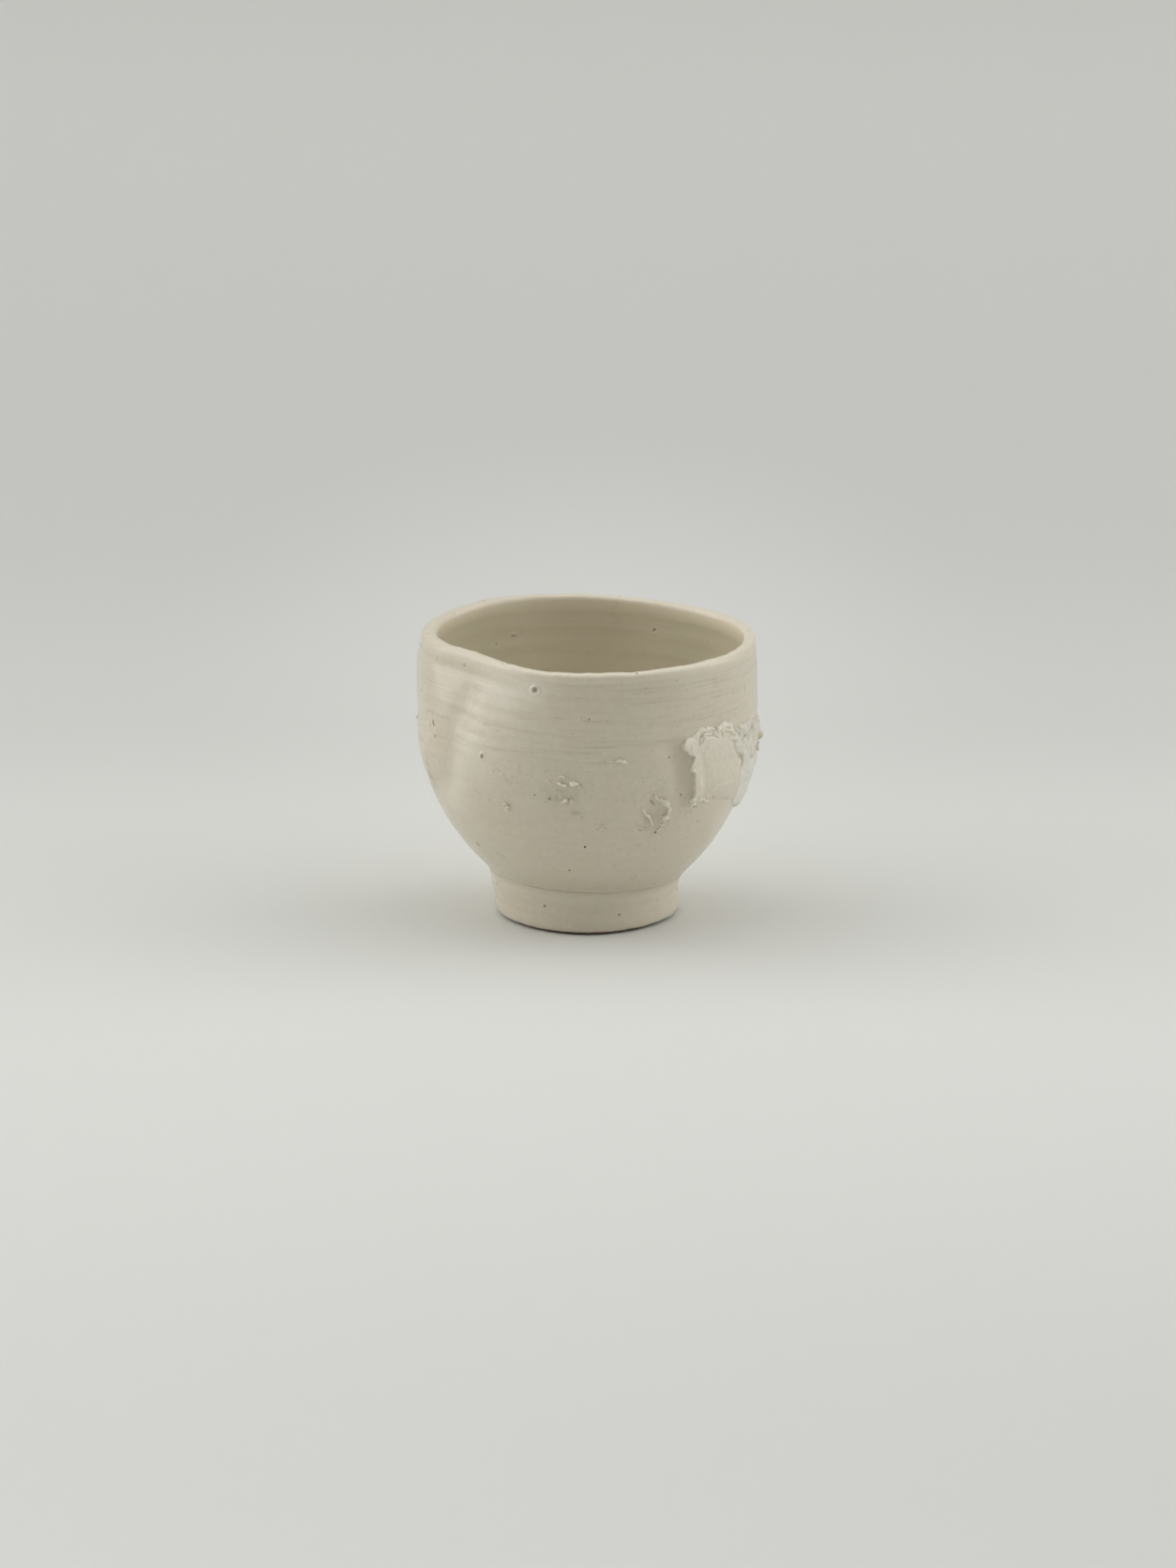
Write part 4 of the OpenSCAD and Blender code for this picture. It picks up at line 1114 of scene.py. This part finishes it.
# The smear at the left outline, and its nibs: place, half width and rise
SMEAR_OUTLINE = (
    (5.5, 1.2), (4.4, 3.1), (2.9, 4.1), (1.3, 5.8), (-0.7, 5.3), (-2.4, 6.0), (-4.2, 4.3), (-4.6, 2.2),
    (-5.5, 0.2), (-4.4, -1.9), (-3.3, -4.1), (-3.6, -6.6), (-1.3, -7.8), (0.6, -7.0), (2.0, -4.6),
    (3.1, -2.9), (4.6, -1.4),
)
SMEAR_NIBS = ((-3.4, 3.6, 0.8, 0.45), (-3.4, -5.2, 1.2, 0.4), (-2.2, -6.6, 0.9, 0.3), (-3.6, -0.6, 0.7, 0.3))


def smear_heights(x, y):
    """A thin uneven smear with a few nibs."""
    edge = edge_distance(*torn(x, y, 0.5, 141), SMEAR_OUTLINE)
    nibs = sum(high * hump(np.hypot(x - cx, y - cy), wide) for cx, cy, wide, high in SMEAR_NIBS)
    body = 0.10 + 0.18 * rough(x, y, 2.4, 145) + 0.08 * rough(x, y, 0.8, 146)
    rise = -SUNK + (np.maximum(body, -0.1) + SUNK) * step(edge, -0.2, 1.6) + nibs * step(edge, -0.2, 0.6)
    low = step(-y, 1.5, 4.5)
    brown = 0.5 * low * step(rough(x, y, 1.2, 147), -0.2, 0.5) + 0.15 * step(rough(x, y, 1.5, 148), 0.2, 0.8)
    dark = 0.25 * low * step(rough(x, y, 0.8, 149), 0.3, 0.7)
    return rise, {"pale": 0.10 * (1 - low), "brown": brown, "dark": dark}


# Materials

# Colours of the glaze, as light that it gives back
GLAZE = (0.670, 0.604, 0.477)
GLAZE_WARM = (0.681, 0.602, 0.474)
GLAZE_GREEN = (0.653, 0.608, 0.484)
# Paler glaze for fine grain, scuffs and thick glaze, and also for painted highlights
GLAZE_PALE = (0.815, 0.770, 0.655)
# Thin glaze of the lip, brightened as a painted highlight
GLAZE_THIN_AND_HIGHLIGHT = (0.935, 0.855, 0.680)
GLAZE_INSIDE = (0.712, 0.645, 0.496)
# Painted shade: a darker copy of the inside glaze for the inside's left and right walls
PAINTED_INSIDE_SIDE_SHADE = (0.605, 0.550, 0.412)
# Dark glaze for stains, streaks, thrown lines and cracks, and for painted shade
GLAZE_STAIN_AND_SHADE = (0.380, 0.310, 0.190)
GLAZE_DEEP_GREEN = (0.33, 0.40, 0.32)
# Pale of thick glaze on torn edges, also used for painted highlights on crests and tops
SCRAP_PALE = (0.90, 0.855, 0.730)
# Painted reflection on the flap's edge
SCRAP_PAINTED_REFLECTION = (0.800, 0.800, 0.735)
# Brown of the lump and the smear, also used for painted shade in creases and slits
BROWN_AND_CREASE_SHADE = (0.60, 0.53, 0.36)
# Dark brown of pits and flecks, also used for painted shade
PIT_BROWN_AND_SHADE = (0.110, 0.072, 0.040)
# Bare clay, darkened as painted contact shade
BARE_CLAY_AND_CONTACT_SHADE = (0.300, 0.225, 0.150)

# How strongly the thin glaze and painted highlight of the lip, the thrown lines, the scuffs and their cracks
# show
LIP_THIN_AND_HIGHLIGHT_SHOWS = 0.85
LINES_SHOW = 0.50
SCUFFS_SHOW = 0.45
CRACKS_SHOW = 0.30
# Heights in metres between which the glaze is wiped off the foot down to the bare clay, which is darkened as
# painted contact shade, and how much that wanders
WIPED_AND_SHADED = (0.0003, 0.0008)
WIPED_AND_SHADED_UNEVEN = 0.0005


def new_material(name):
    """A material with nothing but a shader, its nodes, and that shader."""
    material = bpy.data.materials.new(name)
    material.use_nodes = True
    tree = material.node_tree
    tree.nodes.clear()
    output = tree.nodes.new("ShaderNodeOutputMaterial")
    shader = tree.nodes.new("ShaderNodeBsdfPrincipled")
    tree.links.new(shader.outputs["BSDF"], output.inputs["Surface"])
    return material, tree, shader


def set_inputs(tree, node, inputs):
    """Gives a node's inputs plain values, or joins them to other nodes' outputs."""
    for name, value in inputs.items():
        if isinstance(value, bpy.types.NodeSocket):
            tree.links.new(value, node.inputs[name])
        else:
            node.inputs[name].default_value = value
    return node


def places_in(tree):
    """Places over the object."""
    return tree.nodes.new("ShaderNodeTexCoord").outputs["Object"]


def noise(tree, scale, detail=3.0, roughness=0.55, stretch=None):
    """Random values over the object, with features about 1/scale metres across."""
    places = places_in(tree)
    if stretch:
        mapping = tree.nodes.new("ShaderNodeMapping")
        places = set_inputs(tree, mapping, {"Vector": places, "Scale": stretch}).outputs["Vector"]
    texture = tree.nodes.new("ShaderNodeTexNoise")
    inputs = {"Vector": places, "Scale": scale, "Detail": detail, "Roughness": roughness}
    return set_inputs(tree, texture, inputs).outputs["Fac"]


def spread(tree, value, low, high, out_low=0.0, out_high=1.0):
    """Maps low..high of a value to out_low..out_high, and holds it there beyond."""
    inputs = {"Value": value, "From Min": low, "From Max": high, "To Min": out_low, "To Max": out_high}
    return set_inputs(tree, tree.nodes.new("ShaderNodeMapRange"), inputs).outputs["Result"]


def mixed(tree, amount, first, second):
    """Mixes two colours, each a socket or a plain colour."""
    node = tree.nodes.new("ShaderNodeMix")
    node.data_type = "RGBA"
    colours = [i for i in node.inputs if i.type == "RGBA"]
    tree.links.new(amount, node.inputs["Factor"])
    for socket, value in zip(colours, (first, second)):
        if isinstance(value, tuple):
            socket.default_value = (*value, 1)
        else:
            tree.links.new(value, socket)
    return [o for o in node.outputs if o.type == "RGBA"][0]


def mark(tree, name):
    """What the mesh tells its material at each point."""
    node = tree.nodes.new("ShaderNodeAttribute")
    node.attribute_name = name
    return node.outputs["Fac"]


def marked(tree, colour, **layers):
    """Lays further colours over a colour, each where the mark of its name says so."""
    for name, over in layers.items():
        colour = mixed(tree, mark(tree, name), colour, over)
    return colour


def parts_of(tree, vector):
    """The three parts of a place or a direction."""
    return set_inputs(tree, tree.nodes.new("ShaderNodeSeparateXYZ"), {"Vector": vector}).outputs


def combine(tree, operation, first, second):
    """Works out a value from two others, each a socket or a plain number."""
    node = set_inputs(tree, tree.nodes.new("ShaderNodeMath"), {0: first, 1: second})
    node.operation = operation
    return node.outputs["Value"]


def times(tree, first, second):
    return combine(tree, "MULTIPLY", first, second)


def plus(tree, first, second):
    return combine(tree, "ADD", first, second)


def minus(tree, first, second):
    return combine(tree, "SUBTRACT", first, second)


def bumped(tree, height, distance, strength, before=None):
    """Relief from a height, where 1 stands for a distance in metres, over the relief before it."""
    inputs = {"Height": height, "Distance": distance, "Strength": strength}
    if before:
        inputs["Normal"] = before
    return set_inputs(tree, tree.nodes.new("ShaderNodeBump"), inputs).outputs["Normal"]


def glaze_colour(tree):
    """Off-white glaze that drifts between warm and greenish, with fine paler grain and dark flecks."""
    colour = mixed(tree, spread(tree, noise(tree, 55, 2), 0.42, 0.66), GLAZE, GLAZE_WARM)
    greenish = spread(tree, noise(tree, 85, 2, stretch=(1, 1, 0.7)), 0.50, 0.72, 0, 0.6)
    colour = mixed(tree, greenish, colour, GLAZE_GREEN)
    fine = spread(tree, noise(tree, 700, 4), 0.38, 0.68, 0.0, 0.18)
    colour = mixed(tree, fine, colour, GLAZE_PALE)
    flecks = spread(tree, noise(tree, 1500, 1), 0.735, 0.80, 0.0, 0.45)
    return mixed(tree, flecks, colour, PIT_BROWN_AND_SHADE)


def satin(tree, shader, colour, normal, roughness=(0.26, 0.42)):
    """Gives a shader its colour, its fine relief and a soft shine."""
    uneven_shine = spread(tree, noise(tree, 180, 3), 0.3, 0.7, *roughness)
    set_inputs(tree, shader, {"Base Color": colour, "Normal": normal, "Roughness": uneven_shine, "IOR": 1.5,
                              "Specular IOR Level": 0.4, "Coat Weight": 0.5, "Coat Roughness": 0.18})


def wall_material():
    """Glaze of the bowl, with the thrown lines, the pits, the thin glaze and painted highlight of the lip,
    stains and painted shade, and painted shade on the inside's side walls.
    """
    material, tree, shader = new_material("glaze_wall")
    colour = glaze_colour(tree)
    colour = mixed(tree, spread(tree, mark(tree, "thin"), 0, 1, 0, LIP_THIN_AND_HIGHLIGHT_SHOWS), colour, GLAZE_THIN_AND_HIGHLIGHT)
    inside = mixed(tree, mark(tree, "aside"), GLAZE_INSIDE, PAINTED_INSIDE_SIDE_SHADE)
    colour = marked(tree, colour, inside=inside, stain=GLAZE_STAIN_AND_SHADE, green=GLAZE_DEEP_GREEN)
    streaks = spread(tree, noise(tree, 1, 3, 0.6, stretch=(45, 45, 1300)), 0.50, 0.75, 0.0, 0.22)
    colour = mixed(tree, times(tree, streaks, mark(tree, "streaked")), colour, GLAZE_STAIN_AND_SHADE)
    line = spread(tree, mark(tree, "line"), 0.04, 0.26, 1.0, 0.0)
    line = times(tree, line, spread(tree, noise(tree, 60, 2), 0.35, 0.65, 0.3, 0.95))
    colour = mixed(tree, times(tree, line, LINES_SHOW), colour, GLAZE_STAIN_AND_SHADE)
    scuffed = times(tree, spread(tree, noise(tree, 900, 3), 0.52, 0.68), mark(tree, "scuff"))
    colour = mixed(tree, times(tree, scuffed, SCUFFS_SHOW), colour, GLAZE_PALE)
    cracked = times(tree, spread(tree, noise(tree, 620, 3, 0.7), 0.56, 0.70), mark(tree, "scuff"))
    colour = mixed(tree, times(tree, cracked, CRACKS_SHOW), colour, GLAZE_STAIN_AND_SHADE)
    colour = marked(tree, colour, pale=GLAZE_PALE, dark=PIT_BROWN_AND_SHADE)
    normal = bumped(tree, noise(tree, 420, 4, 0.6), 0.00022, 0.35)
    normal = bumped(tree, noise(tree, 1, 3, 0.6, stretch=(90, 90, 900)), 0.0002, 0.25, normal)
    normal = bumped(tree, times(tree, line, -1), 0.00012, 0.5, normal)
    normal = bumped(tree, minus(tree, scuffed, cracked), 0.0003, 0.6, normal)
    satin(tree, shader, colour, normal)
    return material


def foot_material():
    """Glaze of the foot, wiped off its lowest edge down to the bare clay, which is darkened as painted
    contact shade.
    """
    material, tree, shader = new_material("glaze_foot")
    height = parts_of(tree, places_in(tree))["Z"]
    wander = times(tree, spread(tree, noise(tree, 200, 3), 0.3, 0.7), WIPED_AND_SHADED_UNEVEN)
    bare_and_contact_shade = spread(tree, minus(tree, height, wander), *WIPED_AND_SHADED, 1.0, 0.0)
    pale = spread(tree, mark(tree, "pale"), 0, 1, 0, 0.8)
    colour = mixed(tree, pale, glaze_colour(tree), GLAZE_PALE)
    colour = marked(tree, colour, stain=GLAZE_STAIN_AND_SHADE)
    colour = mixed(tree, bare_and_contact_shade, colour, BARE_CLAY_AND_CONTACT_SHADE)
    colour = marked(tree, colour, dark=PIT_BROWN_AND_SHADE)
    satin(tree, shader, colour, bumped(tree, noise(tree, 420, 4, 0.6), 0.00022, 0.35))
    return material


def scrap_material():
    """Glaze over torn clay: rougher, and paler on the torn edges where it is thick, with painted highlights
    on crests and tops, a painted reflection on the flap's edge, and painted shade in creases, slits and
    under the lump.
    """
    material, tree, shader = new_material("glaze_scraps")
    colour = marked(tree, glaze_colour(tree), cool=SCRAP_PAINTED_REFLECTION, pale=SCRAP_PALE, brown=BROWN_AND_CREASE_SHADE,
                    dark=PIT_BROWN_AND_SHADE)
    normal = bumped(tree, noise(tree, 700, 4, 0.65), 0.0003, 0.5)
    normal = bumped(tree, noise(tree, 1, 3, 0.6, stretch=(900, 900, 300)), 0.0002, 0.2, normal)
    satin(tree, shader, colour, normal, (0.28, 0.50))
    return material


# The stage, the light and the camera

STAGE_REACH = 4.0
FLOOR_COLOUR = (0.785, 0.790, 0.762)
# How light the floor is painted at distances behind the cup, in metres, as painted light and shade
FLOOR_SHADES = ((-0.41, 0.92), (-0.06, 1.04), (0.07, 0.985), (0.18, 0.91), (0.38, 0.86), (1.16, 0.98))
# A painted pool of light behind the cup: how far behind, how wide and long, and how much lighter
FLOOR_GLOW = (0.27, 0.12, 0.26, 0.10)
# How fast the floor in front is painted lighter towards the left
FLOOR_SLOPE = 0.6
BACKDROP_Y = 1.35
BACKDROP_BEND = 0.9
BACKDROP_TOP = 2.6


def floor_material():
    """Pale paper with painted light and shade: a little darker behind the cup, a painted pool of light
    behind it, and lighter to the left in front.
    """
    material, tree, shader = new_material("stage_paper")
    x, y = parts_of(tree, places_in(tree))[:2]
    ramp = tree.nodes.new("ShaderNodeValToRGB")
    ramp.color_ramp.interpolation = "EASE"
    first, last = FLOOR_SHADES[0][0], FLOOR_SHADES[-1][0]
    for place, shade in FLOOR_SHADES[1:-1]:
        ramp.color_ramp.elements.new((place - first) / (last - first))
    for stop, (place, shade) in zip(ramp.color_ramp.elements, FLOOR_SHADES):
        stop.color = (shade, shade, shade, 1)
    set_inputs(tree, ramp, {"Fac": spread(tree, y, first, last)})
    behind, wide, long, lighter = FLOOR_GLOW
    across = combine(tree, "DIVIDE", x, wide)
    along = combine(tree, "DIVIDE", minus(tree, y, behind), long)
    far = plus(tree, times(tree, across, across), times(tree, along, along))
    near = combine(tree, "MAXIMUM", minus(tree, 1, far), 0)
    glow = times(tree, times(tree, near, near), lighter)
    front = times(tree, combine(tree, "MINIMUM", y, 0), x)
    shade = plus(tree, ramp.outputs["Color"], times(tree, front, FLOOR_SLOPE))
    scaled = tree.nodes.new("ShaderNodeVectorMath")
    scaled.operation = "SCALE"
    set_inputs(tree, scaled, {0: FLOOR_COLOUR, "Scale": plus(tree, shade, glow)})
    set_inputs(tree, shader, {"Base Color": scaled.outputs["Vector"], "Roughness": 0.9})
    return material


def make_stage():
    """A pale floor that bends up into a backdrop, in one sheet."""
    profile = [(-STAGE_REACH, 0.0), (BACKDROP_Y, 0.0)]
    for t in np.linspace(0, 90, 24)[1:]:
        c, s = at_angle(t)
        profile.append((BACKDROP_Y + BACKDROP_BEND * s, BACKDROP_BEND * (1 - c)))
    profile.append((BACKDROP_Y + BACKDROP_BEND, BACKDROP_TOP))
    points = [(x, y, z) for y, z in profile for x in (-STAGE_REACH, STAGE_REACH)]
    faces = [(2 * i, 2 * i + 1, 2 * i + 3, 2 * i + 2) for i in range(len(profile) - 1)]
    stage = make_piece("stage", np.array(points) / MM, faces)
    stage.data.materials.append(floor_material())


# Light of the sky by direction: an even part, and more from both sides, from above and from behind. A little
# more comes from the left, the sides' light leans to the back, and no direction goes under the least
SKY_EVEN = 0.315
SKY_SIDES = 1.52
SKY_ABOVE = 0.46
SKY_BEHIND = 0.50
SKY_LEFT = 0.03
SKY_TURN = 0.85
SKY_LEAST = 0.04
SKY_COLOUR = (1.0, 1.0, 0.985, 1)


def make_light():
    """Soft light from all round: brightest from both sides, and dimmer from the viewer's side."""
    world = bpy.data.worlds.new("world")
    bpy.context.scene.world = world
    world.use_nodes = True
    tree = world.node_tree
    x, y, z = parts_of(tree, tree.nodes.new("ShaderNodeTexCoord").outputs["Generated"])
    turned = plus(tree, times(tree, y, SKY_TURN), 1)
    sides = times(tree, times(tree, times(tree, x, x), SKY_SIDES), turned)
    above = times(tree, combine(tree, "MAXIMUM", z, 0), SKY_ABOVE)
    behind = minus(tree, times(tree, y, SKY_BEHIND), times(tree, x, SKY_LEFT))
    level = plus(tree, plus(tree, sides, above), plus(tree, behind, SKY_EVEN))
    level = combine(tree, "MAXIMUM", level, SKY_LEAST)
    set_inputs(tree, tree.nodes["Background"], {"Color": SKY_COLOUR, "Strength": level})


# How the photograph was taken: image size in pixels, and where the cup's axis shows at a height in mm
IMAGE_WIDE, IMAGE_TALL = 1200, 1600
CAMERA_ELEVATION = 15.3
CAMERA_DISTANCE = 2000
PIXELS_PER_MM = 4.371
AXIS_PIXEL = (598.0, 789.65)
AXIS_HEIGHT = 33
SENSOR = 36


def make_camera():
    """The camera that sees the cup as the photograph shows it."""
    c, s = at_angle(CAMERA_ELEVATION)
    back = np.array([0, -c, s])
    up = np.array([0, s, c])
    right = np.array([1, 0, 0])
    off_x = (AXIS_PIXEL[0] - IMAGE_WIDE / 2) / PIXELS_PER_MM
    off_y = (AXIS_PIXEL[1] - IMAGE_TALL / 2) / PIXELS_PER_MM
    aim = np.array([0, 0, AXIS_HEIGHT]) - right * off_x + up * off_y
    camera = bpy.data.cameras.new("camera")
    camera.sensor_width = SENSOR
    camera.lens = PIXELS_PER_MM * CAMERA_DISTANCE / IMAGE_TALL * SENSOR
    camera.clip_end = 50
    holder = bpy.data.objects.new("camera", camera)
    holder.location = (aim + back * CAMERA_DISTANCE) * MM
    holder.rotation_euler = (math.radians(90 - CAMERA_ELEVATION), 0, 0)
    bpy.context.scene.collection.objects.link(holder)
    bpy.context.scene.camera = holder


def dress(piece, node, material):
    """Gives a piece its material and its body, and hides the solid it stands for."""
    piece.data.materials.append(material)
    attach(piece, "root")
    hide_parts(node)


def make_scraps(material):
    """All pieces of torn clay: node, angle, height, reach of the grid, its spacing, and heights."""
    crescent = ridges_of(CRESCENT_RIDGES, 0.18, 111, 0.78)
    fold = ridges_of(CRESCENT_FOLD, 0.16, 121, 0.95)
    curl = ridges_of(CURL_RIDGES, 0.16, 81, 0.75)
    scraps = [
        ("torn_slab", SLAB_ANGLE, SLAB_HEIGHT, (14.5, 14.5, 14, 13.5), 0.16, slab_heights),
        ("torn_flap", FLAP_ANGLE, FLAP_HEIGHT, (16, 15, 14.5, 14), 0.19, flap_heights),
        ("slab_curl", SLAB_ANGLE, SLAB_HEIGHT, (9.6, 5, -6.6, 12.2), 0.09, curl),
        ("side_lump", *LUMP_PLACE, (3, 3, 4.6, 3), 0.12, lump_heights),
        ("slab_crumbs", *CRUMBS_PLACE, (2.6, 7, 2.8, 3), 0.09, crumb_heights),
        ("crescent_scrap", GOUGE_ANGLE, GOUGE_HEIGHT, (3.4, 6.2, 6.6, 6.6), 0.09, crescent),
        ("crescent_fold", GOUGE_ANGLE, GOUGE_HEIGHT, (5, 1, 5.4, 2.6), 0.08, fold),
        ("left_smear", *SMEAR_PLACE, (6.5, 6.5, 9, 7), 0.2, smear_heights),
    ]
    for number, (node, angle, height, ridges) in enumerate(SMALL_SCRAPS):
        scraps.append((node, angle, height, SMALL_REACH, 0.08, ridges_of(ridges, 0.1, 131 + 20 * number)))
    for node, *shape in scraps:
        dress(make_scrap(node + "_clay", *shape), node, material)


bpy.context.scene.view_settings.view_transform = "Standard"
make_camera()
make_light()
make_stage()
dress(make_bowl(), "bowl", wall_material())
dress(make_foot(), "foot_ring", foot_material())
make_scraps(scrap_material())
